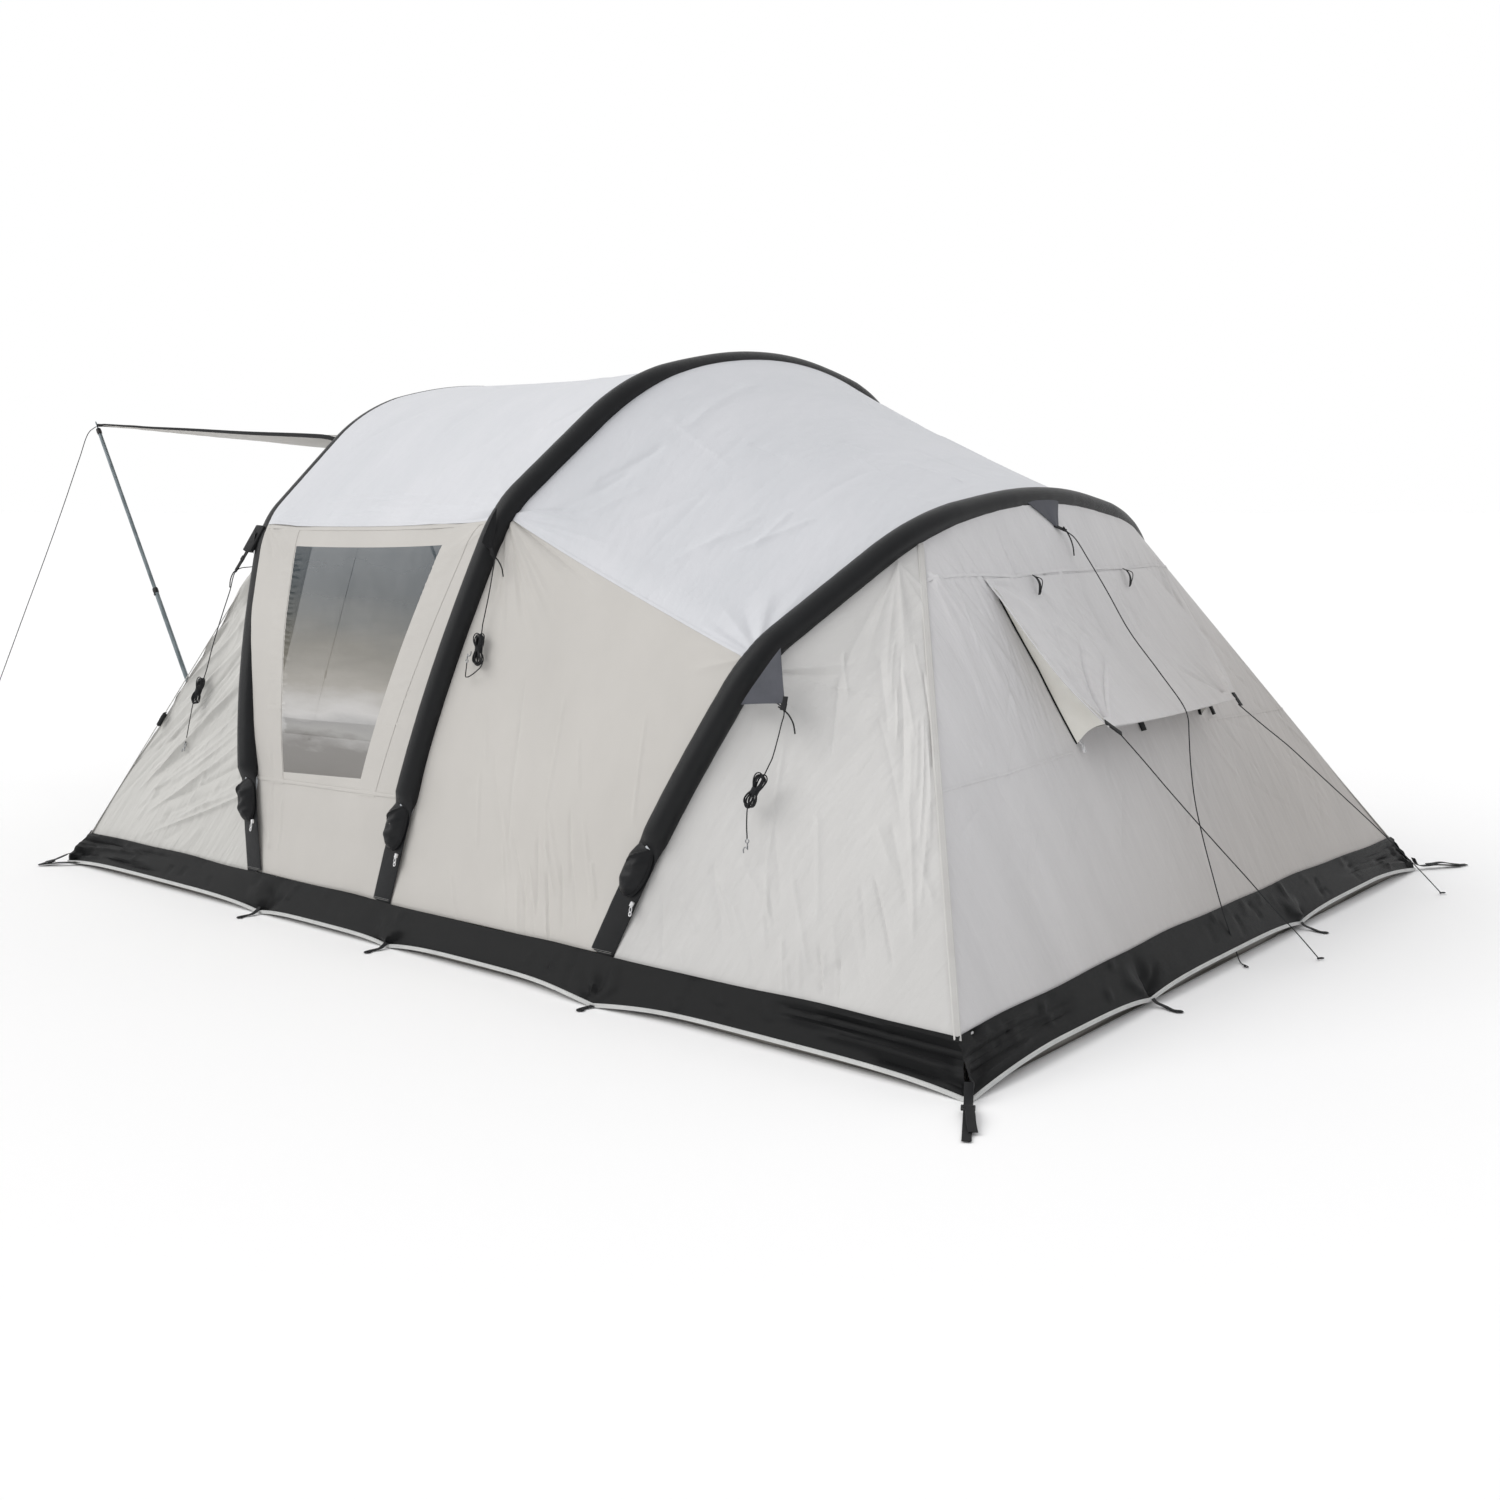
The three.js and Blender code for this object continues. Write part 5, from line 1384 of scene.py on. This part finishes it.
def side_frame(name):
    """One side of the base: its direction, half run, outward direction, how far out its foot and its top are, and
    half the run of its top."""
    side = np.array(1.0 if name in ("far", "rear") else -1.0)
    if name in ("near", "far"):
        return np.array([1.0, 0, 0]), HALF_L, np.array([0, 1.0, 0]) * side, HALF_W, WALL_Y, WALL_X
    return np.array([0, 1.0, 0]), HALF_W, np.array([1.0, 0, 0]) * side, HALF_L, WALL_X, WALL_Y


def skirt_lines(gen, name, half_run):
    """Wrinkles fan up from each peg and run along the skirt at its corners."""
    lines = []
    for peg in PEGS[name]:
        lines += fan(gen, peg, -0.01, 35, 145, 9, 0.16, 0.0038, 0.009, 0.0)
    for toward in (1, -1):
        for y0 in 0.02 + 0.018 * np.arange(6):
            lines.append((-toward * half_run, y0, toward * (gen.uniform(0.3, 0.75) - half_run),
                          y0 + gen.uniform(-0.02, 0.03),
                          0.0030 * gen.choice([1, -1]), 0.007, False))
    return lines + scatter(gen, (-half_run, half_run), (0.01, 0.1), (60, 120), 34, 0.09, 0.0022, 0.008)


def skirt_side(name):
    """The mud flap of one side, the piping along its low edge, and the groundsheet's rim under it."""
    along, half_run, out, low_off, high_off, top_run = side_frame(name)
    is_long = name in ("near", "far")
    cols, rows = (260 if is_long else 210), 22
    s = np.linspace(-1, 1, cols)
    position = s * half_run

    def line(run, off, height):
        return along * np.asarray(run)[:, None] + out * np.asarray(off)[:, None] + Z_UP * np.asarray(height)[:, None]

    lift, spill = 0.010 + scallop(position, PEGS[name]), np.full(cols, 0.010)
    top_z = WALL_Z + 0.004 + 0.0025 * np.sin(position * 5.3 + len(name)) + 0.0015 * np.sin(position * 11.7)
    if is_long:
        spill += 0.036 * np.exp(-((position - 0.90) / 0.22) ** 2)
        top_z += 0.006 * smooth((position - 1.1) / 0.4)
    else:
        near_corner = smooth((half_run - np.abs(position)) / 0.5)
        lift += 0.016 * near_corner
        spill -= 0.008 * near_corner
        top_z += 0.006 + 0.026 * (1 - s ** 2)
    bottom = line(position * (1 + 0.008 / half_run), low_off + spill, lift)
    top = line(s * (top_run + 0.002), high_off + 0.003 - 0.5 * (top_z - WALL_Z - 0.004), top_z)
    r = np.linspace(0, 1, rows)[:, None]
    base = lerp(bottom[None], top[None], r[..., None])
    y, x = np.meshgrid(np.linspace(0, 0.12, rows), position, indexing="ij")
    lines = skirt_lines(np.random.default_rng(90 + len(name)), name, half_run)
    hold = smooth(r / 0.08) * smooth((1 - r) / 0.08)
    sign = np.sign(grid_normals(base)[rows // 2, cols // 2] @ out)
    points = wrinkled(base, x, y, lines, 95, 0.0016, 0.35, hold, sign)
    flap = piece(f"mud_flap_{name}_cloth", grid_part(points, 0.0022, flip=sign < 0), "mud", "black_cloth",
                 replaces=[f"mud_flap_{name}"])
    declare_sheet(base)
    piece(f"piping_{name}", [strip_part(bottom + out * 0.003 - Z_UP * 0.004, 0.013, 0.0055, out)], "piping",
          "black_cloth")
    t = np.linspace(0, 1, 7)[:, None, None]
    waver = 0.004 * np.sin(position * 9.1) * (1 - s ** 4)
    low_line = line(s * (half_run - RIM_INSET), low_off + spill - 0.026 + waver, np.full(cols, 0.0025))
    high_line = line(position, low_off + spill - 0.005, lift + 0.004)
    rim = lerp(low_line[None], high_line[None], t)
    rim = rim + out * (0.003 * np.sin(position * 31 + 2)[None, :, None] * np.sin(np.pi * t))
    flip = grid_normals(rim)[3, cols // 2] @ out < 0
    rim_obj = piece(f"floor_rim_{name}", grid_part(rim, flip=flip), "floor", "groundsheet_cloth")
    declare_sheet(rim)


def floor_sheet():
    """The groundsheet: flat, with soft ripples inside the tent."""
    x, y = spread((RIM_INSET - HALF_L, HALF_L - RIM_INSET, 160), (RIM_INSET - HALF_W, HALF_W - RIM_INSET, 120))
    gen = np.random.default_rng(101)
    ripples = scatter(gen, (-2.1, 1.9), (-1.6, 1.6), (-30, 30), 60, 0.7, 0.0022, 0.02)
    ripples += scatter(gen, (-2.1, 2.1), (-1.6, 1.4), (60, 120), 50, 0.6, 0.0022, 0.02)
    points = np.stack([x, y, 0.0032 + np.clip(crease_field(x, y, ripples), -0.0012, 0.004)], axis=-1)
    obj = piece("groundsheet_sheet", grid_part(points, 0.0012, flip=True), "floor", "groundsheet_cloth",
                replaces=["groundsheet"])
    declare_sheet(points)


for name in ("near", "far", "rear", "front"):
    skirt_side(name)
floor_sheet()


# ---------------------------------------------------------------- peg loops, corner straps and buckles
def peg_loops():
    """A folded webbing loop at each peg between the corners: two legs and a round end."""
    loops = []
    for name, pegs in PEGS.items():
        along, _, out, low_off, _, _ = side_frame(name)
        for peg in pegs[1:-1]:
            start = along * peg + out * (low_off + 0.012) + Z_UP * 0.014
            for shift in (-0.004, 0.004):
                steps = ((0, shift, 0.012), (0.010, shift, 0.002), (0.038, shift + 0.006, -0.008),
                         (0.070, shift - 0.004, -0.0115), (0.090, shift * 2.2, -0.012))
                loops.append(strip_part(dense([start + out * a + along * b + Z_UP * c for a, b, c in steps], 16),
                                        0.011, 0.0022))
            bend = ellipse(start + out * 0.086 - Z_UP * 0.012, out * 0.010, along * 0.009, 9, (-np.pi / 2, np.pi / 2),
                           True)
            loops.append(strip_part(bend, 0.010, 0.002))
    piece("peg_loops", loops, "webbing", "black_cloth")


def ladder_parts(centre, along):
    """A ladder buckle: a frame with three bars that webbing threads through."""
    along = unit(along)
    side = np.cross(along, unit(Z_UP - along * along[2]))
    bar = np.array([-0.016, -0.008, 0, 0.008, 0.016])[:, None]
    return ([tube_part(centre + side * s + along * bar, 0.0028, 8) for s in (-0.016, 0.016)]
            + [tube_part(centre + along * q + side * bar, 0.0026, 8) for q in (-0.015, 0, 0.015)])


def corner_straps():
    """At the rear corners a strap with a buckle and its loose end; at the front corners two straps to one peg."""
    buckles, front_straps = [], []
    ground = np.array([1, 1, 0])
    for end_x, finish_x, finish_y in ((1, 2.409, 2.000), (-1, -2.300, 1.880)):
        for side_name, side in Y_SIGNS:
            corner = np.array([end_x * (HALF_L + 0.010), side * (HALF_W + 0.012), 0.022])
            finish = np.array([finish_x, side * finish_y, 0.003])
            reach = finish - corner
            if end_x > 0:
                middle = (corner + reach * 0.42) * ground + (0, 0, 0.014)
                route = dense([corner + (-0.004, -0.006 * side, 0.03), corner + reach * 0.06, middle,
                               lerp(corner, finish, 0.75) * ground + (0, 0, 0.005), finish], 30)
                loose = dense([route[10] + (0, 0, 0.004), route[15] + (0.006, 0.002, 0.011),
                               route[20] + (0.012, 0, 0.008),
                               route[24] + (0.016, 0.004, 0.004)], 16)
                buckles += ladder_parts(route[11] + (0, 0, 0.004), route[12] - route[10])
                piece(f"corner_strap_{side_name}_webbing",
                      [strip_part(route, 0.025, 0.0026), strip_part(loose, 0.025, 0.0024)], "webbing", "black_cloth",
                      replaces=[f"corner_strap_{side_name}"])
            else:
                for q, x_shift, z_shift, sag in ((0, 0.004, 0.016, 0.018), (1, 0.089, -0.010, 0.012)):
                    start = corner + (x_shift, side * -0.002, z_shift)
                    route = dense([start + (0.02, 0, 0.004), start, lerp(start, finish, 0.5) * ground + (0, 0, sag),
                                   finish + (0, 0.004 * q, 0.001)], 24)
                    front_straps.append(strip_part(route, 0.020, 0.0024))
                buckles += ladder_parts(lerp(corner, finish, 0.6) * ground + (0, 0, 0.014), reach)
    piece("front_corner_straps", front_straps, "webbing", "black_cloth")
    piece("corner_buckles", buckles, "plastic", "black_plastic")


peg_loops()
corner_straps()

# ---------------------------------------------------------------- gussets that the guy lines pull on
GUSSETS = {
    "rear": ((1.243, -1.452, 0.930), (1.352, -1.396, 1.105), (1.404, -1.440, 0.944)),
    "middle": ((0.072, -1.440, 1.400), (0.092, -1.385, 1.520), (0.100, -1.412, 1.362)),
    "front": ((-1.300, -1.425, 1.335), (-1.322, -1.392, 1.430), (-1.352, -1.402, 1.358)),
}


def gusset_grid(a, b, tip, belly):
    """A triangular patch between an edge a-b and a point, with hollow sides."""
    r, c = spread((0, 0.94, 18), (0, 1, 18))
    pull = np.sin(np.pi * r)[..., None] * 0.035
    centre = (a + b + tip) / 3
    left, right = (lerp(line, centre, pull) for line in (lerp(a, tip, r[..., None]), lerp(b, tip, r[..., None])))
    bulge = np.sin(np.pi * c) * (1 - r) * 0.8 + 0.12 * np.sin(9 * c + 5 * r)
    return lerp(left, right, c[..., None]) + np.asarray(belly) * bulge[..., None]


def curl_part(tip, direction, side):
    """A strap end that sticks out of a patch and curls over."""
    direction, side = unit(direction), unit(side)
    steps = ((-0.02, 0, 0), (0.006, 0, 0), (0.022, 0.006, 0), (0.036, 0.020, -0.006), (0.040, 0.030, -0.024))
    return tube_part(dense([tip + direction * a + side * b + Z_UP * c for a, b, c in steps], 18), 0.0024, 6)


def guy_gusset(name, side_name, side):
    a, b, tip = mirrored(GUSSETS[name], side)
    out = WALL_OUT * (1, side, 1)
    grid = gusset_grid(a, b, tip, out * 0.006)
    patch = piece(f"guy_gusset_{name}_{side_name}", grid_part(grid, 0.0016), "gusset" if name == "rear" else "sleeve",
                  "black_cloth")
    declare_sheet(grid)
    exit_point = mirrored(GUYS[name]["line"][0], side)
    along = unit(exit_point - tip)
    band = np.linspace(tip - along * 0.022 + out * 0.003, exit_point + out * 0.001, 6)
    tab = [strip_part(band, 0.018, 0.003, out),
           framed_block((tip + exit_point) / 2 + out * 0.004, out, along, (0.020, 0.006, 0.022), 0.3)]
    heading = -1 if name == "front" else 1
    if name == "front":
        # A folded patch end lies along the beam
        rise = unit((0.05, 0.55 * side, 0.83))
        thin = unit(out - rise * (out @ rise))
        tab.append(block_part(tip + (0.022, 0.006 * side, 0.034), [np.cross(rise, thin), thin, rise],
                              (0.056, 0.018, 0.118), 0.45))
    tab.append(curl_part(exit_point + out * 0.003, (0.8 * heading, 0, -0.35), (0.3 * heading, 0, -1)))
    piece(f"guy_tab_{name}_{side_name}", tab, "webbing", "black_cloth")


def crown_gusset():
    tip, exit_point = np.array([1.5265, -0.030, 1.446]), np.array(REAR_CROWN[0])
    a, b = (rear_surface(c, 0.985, 0.006)[0] for c in (-0.235, 0.085))
    grid = gusset_grid(a, b, tip, (0.006, 0, 0.004))
    patch = piece("crown_gusset", grid_part(grid, 0.0016, flip=True), "gusset", "black_cloth")
    declare_sheet(grid)
    band = np.linspace(tip - unit(exit_point - tip) * 0.02 + (0.003, 0, 0.003), exit_point + (0, 0, 0.001), 6)
    piece("crown_tab", [strip_part(band, 0.018, 0.003, unit((0.8, 0, 0.6))),
                        curl_part(exit_point, (0.5, 0.1, -0.7), (0.2, 0.1, -1))], "webbing", "black_cloth")


for name in GUSSETS:
    for side_name, side in MIRRORS:
        guy_gusset(name, side_name, side)
crown_gusset()

# ---------------------------------------------------------------- valve pockets
# The directions up the leg and out of it at each pocket, whose middle is at this height on the beam
POCKET_Z = 0.405
POCKETS = {
    "front": ((-0.2319, 0.2243, 0.9465), (-0.0534, -0.9745, 0.2178)),
    "middle": ((0.1969, 0.2191, 0.9556), (0.0442, -0.9757, 0.2146)),
    "rear": ((0.3591, 0.2475, 0.8999), (0.0917, -0.9689, 0.2299)),
}


def pocket_shell(origin, across, up, out):
    """A soft oval shell, fuller at its lower left, with a fold across its upper part."""
    turn, spoke = spread((0, 2 * np.pi, 57), (0.02, 1, 22))
    px = np.sign(np.cos(turn)) * np.abs(np.cos(turn)) ** 0.78 * spoke
    py = np.sign(np.sin(turn)) * np.abs(np.sin(turn)) ** 0.84 * spoke
    height = 0.040 * (1 - spoke ** 2.6) ** 0.7 * (1 + 0.10 * np.sin(7 * py + 2 * px)
                                                  + 0.05 * np.sin(15 * py - 4 * px))
    height = height * (1 - 0.35 * smooth((py - 0.35) / 0.5)) * (1 - 0.30 * smooth((px - 0.1) / 0.8))
    height = height + 0.008 * np.exp(-((py - 0.55 - 0.6 * px) / 0.06) ** 2) * (1 - spoke ** 4)
    return origin + across * (px * 0.047 - 0.008)[..., None] + up * (py * 0.096 + 0.004)[...,
            None] + out * height[..., None]


def valve_pocket(name):
    """A pocket on the beam, the zip round its lower right edge, and its slider with two rings."""
    up, out = (unit(direction) for direction in POCKETS[name])
    across = np.cross(up, out)
    beam = arch_line(ARCHES[name])[:I_KNEE]
    origin = along_line(POCKET_Z, beam[:, 2], beam) + out * 0.004
    shell = pocket_shell(origin, across, up, out)
    piece(f"valve_pocket_{name}_cloth", grid_part(shell, flip=True), "sleeve", "black_cloth",
          replaces=[f"valve_pocket_{name}"], sharp=50)
    zip_line = ellipse(origin - across * 0.002 + out * 0.008, across * 0.041, up * 0.088, 26, np.radians([70, -75]),
                       True)
    piece(f"valve_pocket_{name}_trim", [strip_part(zip_line, 0.010, 0.0024, out),
                                        tube_part(zip_line + out * 0.003, 0.0016, 6)],
          "webbing", "black_cloth")
    seat = origin + across * 0.038 - up * 0.098 + out * 0.011
    drop = unit(-Z_UP + out * (out @ Z_UP))
    hang = np.cross(drop, out)
    rings = [tube_part(ellipse(seat + drop * low + out * 0.003, drop * length, hang * 0.0045), thick, 6, closed=True)
             for low, length, thick in ((0.017, 0.009, 0.0017), (0.030, 0.007, 0.0019))]
    piece(f"zip_pull_{name}_ring", [block_part(seat, [across, out, up], (0.011, 0.008, 0.016), 0.3)] + rings,
          "bright",
          "bright_metal", body=f"pocket_zip_{name}", replaces=[f"zip_pull_{name}"])


def foot_stitches(name):
    """Two rows of light thread across the ribbon at each foot."""
    z = WALL_Z + 0.012
    for side_name, side in Y_SIGNS:
        centre = np.array([arch_x(ARCHES[name], z), side * (FOOT_Y - 0.001), z])
        rows = [tube_part([centre + (s * 0.044, side * 0.0095, q) for s in (-1, -0.3, 0.3, 1)], 0.0006,
                          5) for q in (0, 0.005)]
        piece(f"foot_stitch_{name}_{side_name}", rows, "white", "black_cloth")


for name in POCKETS:
    valve_pocket(name)
    foot_stitches(name)

# ---------------------------------------------------------------- inner tent and curtain
INNER_INSET, INNER_Z = 0.150, 0.012
DOORWAY_TOP = 1.64


def inner_tunnel():
    """A cloth tunnel between the middle and the rear arch, hanging in three waves."""
    stations = np.arange(0, LAST + 1, 4)
    rims = []
    for name, shift in (("middle", 0.05), ("rear", -0.05)):
        rim = arch_line(ARCHES[name], INNER_INSET, shift)
        rim[:, 2] = np.maximum(rim[:, 2], INNER_Z)
        rim[0, 2] = rim[-1, 2] = INNER_Z
        rims.append(rim[stations][:, None])
    u = np.linspace(0.12, 0.97, 40)[None, :]
    tunnel = lerp(*rims, u[..., None])
    wave = 0.014 * (1 - np.cos(u * 2 * np.pi * 3)) + 0.006 * np.sin(stations * 0.11)[:, None] * np.sin(u * 17)
    inward = unit(tunnel * (0, -1, -1) + (0, 0, 0.5))
    tunnel = tunnel + inward * (wave * smooth((tunnel[..., 2] - 0.2) / 0.8))[..., None]
    obj = piece("inner_tent_cloth", grid_part(tunnel), "inner", "inner_cloth", replaces=["inner_tent"])
    declare_sheet(tunnel)
    return tunnel[:len(stations) // 2 + 1, 0] * (1, -1, 1)


def door_half(z):
    """Half the width of the inner doorway, which rounds in at its top."""
    return np.where(z < 1.45, 0.70 - 0.08 * z / 1.45, 0.62 - 0.22 * (np.maximum(z - 1.45, 0) / 0.19) ** 1.6)


def inner_front(rim):
    """The inner tent's front wall: two side panels, one above the doorway, and a sill below it."""
    depths, widths, heights = rim.T

    def panel(share, z, inner_half):
        """Points between the doorway's edge and the tunnel's edge."""
        y = inner_half + (np.interp(z, heights, widths) - inner_half) * share
        return np.stack(np.broadcast_arrays(np.interp(z, heights, depths) - 0.012, y, z), axis=-1)

    z, share = np.linspace(INNER_Z, DOORWAY_TOP, 70)[:, None], np.linspace(0, 1, 26)[None, :]
    panels = []
    for _, side in MIRRORS:
        grid = panel(share, z, door_half(z)) * (1, side, 1)
        grid[..., 0] += 0.006 * np.sin(share * 21) * smooth(z / 1.0)
        panels.append(grid_part(grid, flip=side > 0))
    z = np.linspace(DOORWAY_TOP, heights.max() - 0.002, 16)[:, None]
    panels.append(grid_part(panel(np.linspace(0, 1, 60)[None, :], z, -np.interp(z, heights, widths)), flip=True))
    z = np.linspace(INNER_Z, 0.08, 4)[:, None]
    panels.append(grid_part(panel(0, z, np.linspace(-0.70, 0.70, 30)[None, :]), flip=True))
    obj = piece("inner_partition_cloth", panels, "inner", "inner_cloth", replaces=["inner_partition"])


def window_curtain(side_name, side):
    """The rolled curtain that hangs across the window's lower part, inside."""
    rows, cols = spread((0, 1, 14), (0, 1, 60))
    share = 0.17 + 0.07 * rows
    left, right = lerp(bl[0], tl[0], share) - 0.03, lerp(br[0], tr[0], share) + 0.03
    curtain, normal = bay_surface("front", lerp(left, right, cols), mirror_k(lerp(bl[1], tl[1], share), side), -0.030)
    bulge = 0.016 * np.sin(np.pi * rows) * (1 + 0.3 * np.sin(cols * 31)) + 0.004 * np.sin(rows * 24 + cols * 9)
    curtain = curtain - normal * bulge[..., None]
    obj = piece(f"window_curtain_{side_name}", grid_part(curtain, flip=side < 0), "lining", "inner_cloth")
    declare_sheet(curtain)


inner_front(inner_tunnel())
for side_name, side in MIRRORS:
    window_curtain(side_name, side)

# ---------------------------------------------------------------- carried-over CAD nodes
LOOKS = {"pole": "steel", "valve_body": "plastic", "valve_cap": "plastic", "zip_pull": "bright", "rear_zip": "bright"}
for node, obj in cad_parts.items():
    for start, look in LOOKS.items():
        if node.startswith(start) and not obj.hide_render:
            obj.data.materials.clear()
            obj.data.materials.append(MATS[look])
            obj.data.shade_smooth()
            obj.data.set_sharp_from_angle(angle=math.radians(40))

# ---------------------------------------------------------------- pole fittings
POLE_FOOT, POLE_RUN, POLE_RISE = (-2.275, 0.900), -1.070, 1.893


def pole_fittings(side_name, side):
    """A foot, a clamp with its button where the tubes slide, and a collar under the spike."""
    foot, axis = np.array([POLE_FOOT[0], side * POLE_FOOT[1], 0.0]), unit((POLE_RUN, 0, POLE_RISE))
    length, sideways = math.hypot(POLE_RUN, POLE_RISE), np.array([0, 1.0, 0])

    def ring(low, high, radius, lip=0.0012):
        steps = np.array([low, low + 0.002, (low + high) / 2, high - 0.002, high])
        return tube_part(foot + np.outer(steps, axis), radius, 20,
                         scale=np.array([0.82, 1, 1 + lip / radius, 1, 0.82]))

    button = framed_block(foot + axis * 1.256 + sideways * (side * 0.0128), sideways, axis, (0.008, 0.005, 0.010),
                          0.45)
    for part, shapes, body in (("foot", [ring(0.004, 0.034, 0.0135), ring(0.034, 0.052, 0.0125)],
                                f"pole_{side_name}_leg"),
                               ("clamp", [ring(1.262, 1.290, 0.0128), button], f"pole_{side_name}_leg"),
                               ("tip", [ring(length - 0.030, length + 0.001, 0.0112)], f"pole_{side_name}")):
        piece(f"pole_{side_name}_{part}", shapes, "plastic", "black_plastic", body=body)


for side_name, side in Y_SIGNS:
    pole_fittings(side_name, side)

# ---------------------------------------------------------------- stage and lights
FLOOR_HALF, FLOOR_Z = 400, -0.001
# Two broad suns: name, place, strength, spread in degrees, colour
LIGHTS = (("key", (-3.6, -5.0, 5.2), 1.45, 48, (1.0, 0.99, 0.975)),
          ("fill", (3.0, -2.0, 7.0), 0.25, 60, (0.97, 0.985, 1.0)))


def make_stage():
    """A pale floor, a sky that is dimmer behind the camera, and the lights."""
    mesh = bpy.data.meshes.new("studio_floor")
    mesh.from_pydata([(x * FLOOR_HALF, y * FLOOR_HALF, FLOOR_Z) for x, y in ((-1, -1), (1, -1), (1, 1), (-1, 1))], [],
                     [(0, 1, 2, 3)])
    floor_mat, tree, shader = new_material("studio_floor")
    set_inputs(tree, shader, {"Base Color": (0.98, 0.98, 0.98, 1), "Roughness": 0.9, "Specular IOR Level": 0.1})
    mesh.materials.append(floor_mat)
    floor = bpy.data.objects.new("studio_floor", mesh)
    bpy.context.scene.collection.objects.link(floor)
    world = bpy.data.worlds.new("studio")
    bpy.context.scene.world = world
    world.use_nodes = True
    tree = world.node_tree
    sky = add_node(tree, "TexCoord", "Generated")
    turned = add_node(tree, "Mapping", "Vector", {"Vector": sky, "Rotation": (0, 0, math.radians(-129))},
                      vector_type="POINT")
    gradient = add_node(tree, "TexGradient", "Color", {"Vector": turned})
    shades = add_ramp(tree, gradient, [(0.0, (0.50, 0.50, 0.51, 1)), (0.45, (1, 1, 1, 1))])
    set_inputs(tree, tree.nodes["Background"], {"Color": shades})
    for name, place, power, spread_angle, color in LIGHTS:
        data = bpy.data.lights.new(name, "SUN")
        data.angle, data.energy, data.color = math.radians(spread_angle), power, color
        light = bpy.data.objects.new(name, data)
        light.location = place
        light.rotation_euler = Vector(place).to_track_quat("Z", "Y").to_euler()
        bpy.context.scene.collection.objects.link(light)


make_stage()
bpy.context.scene.view_settings.view_transform = "Standard"
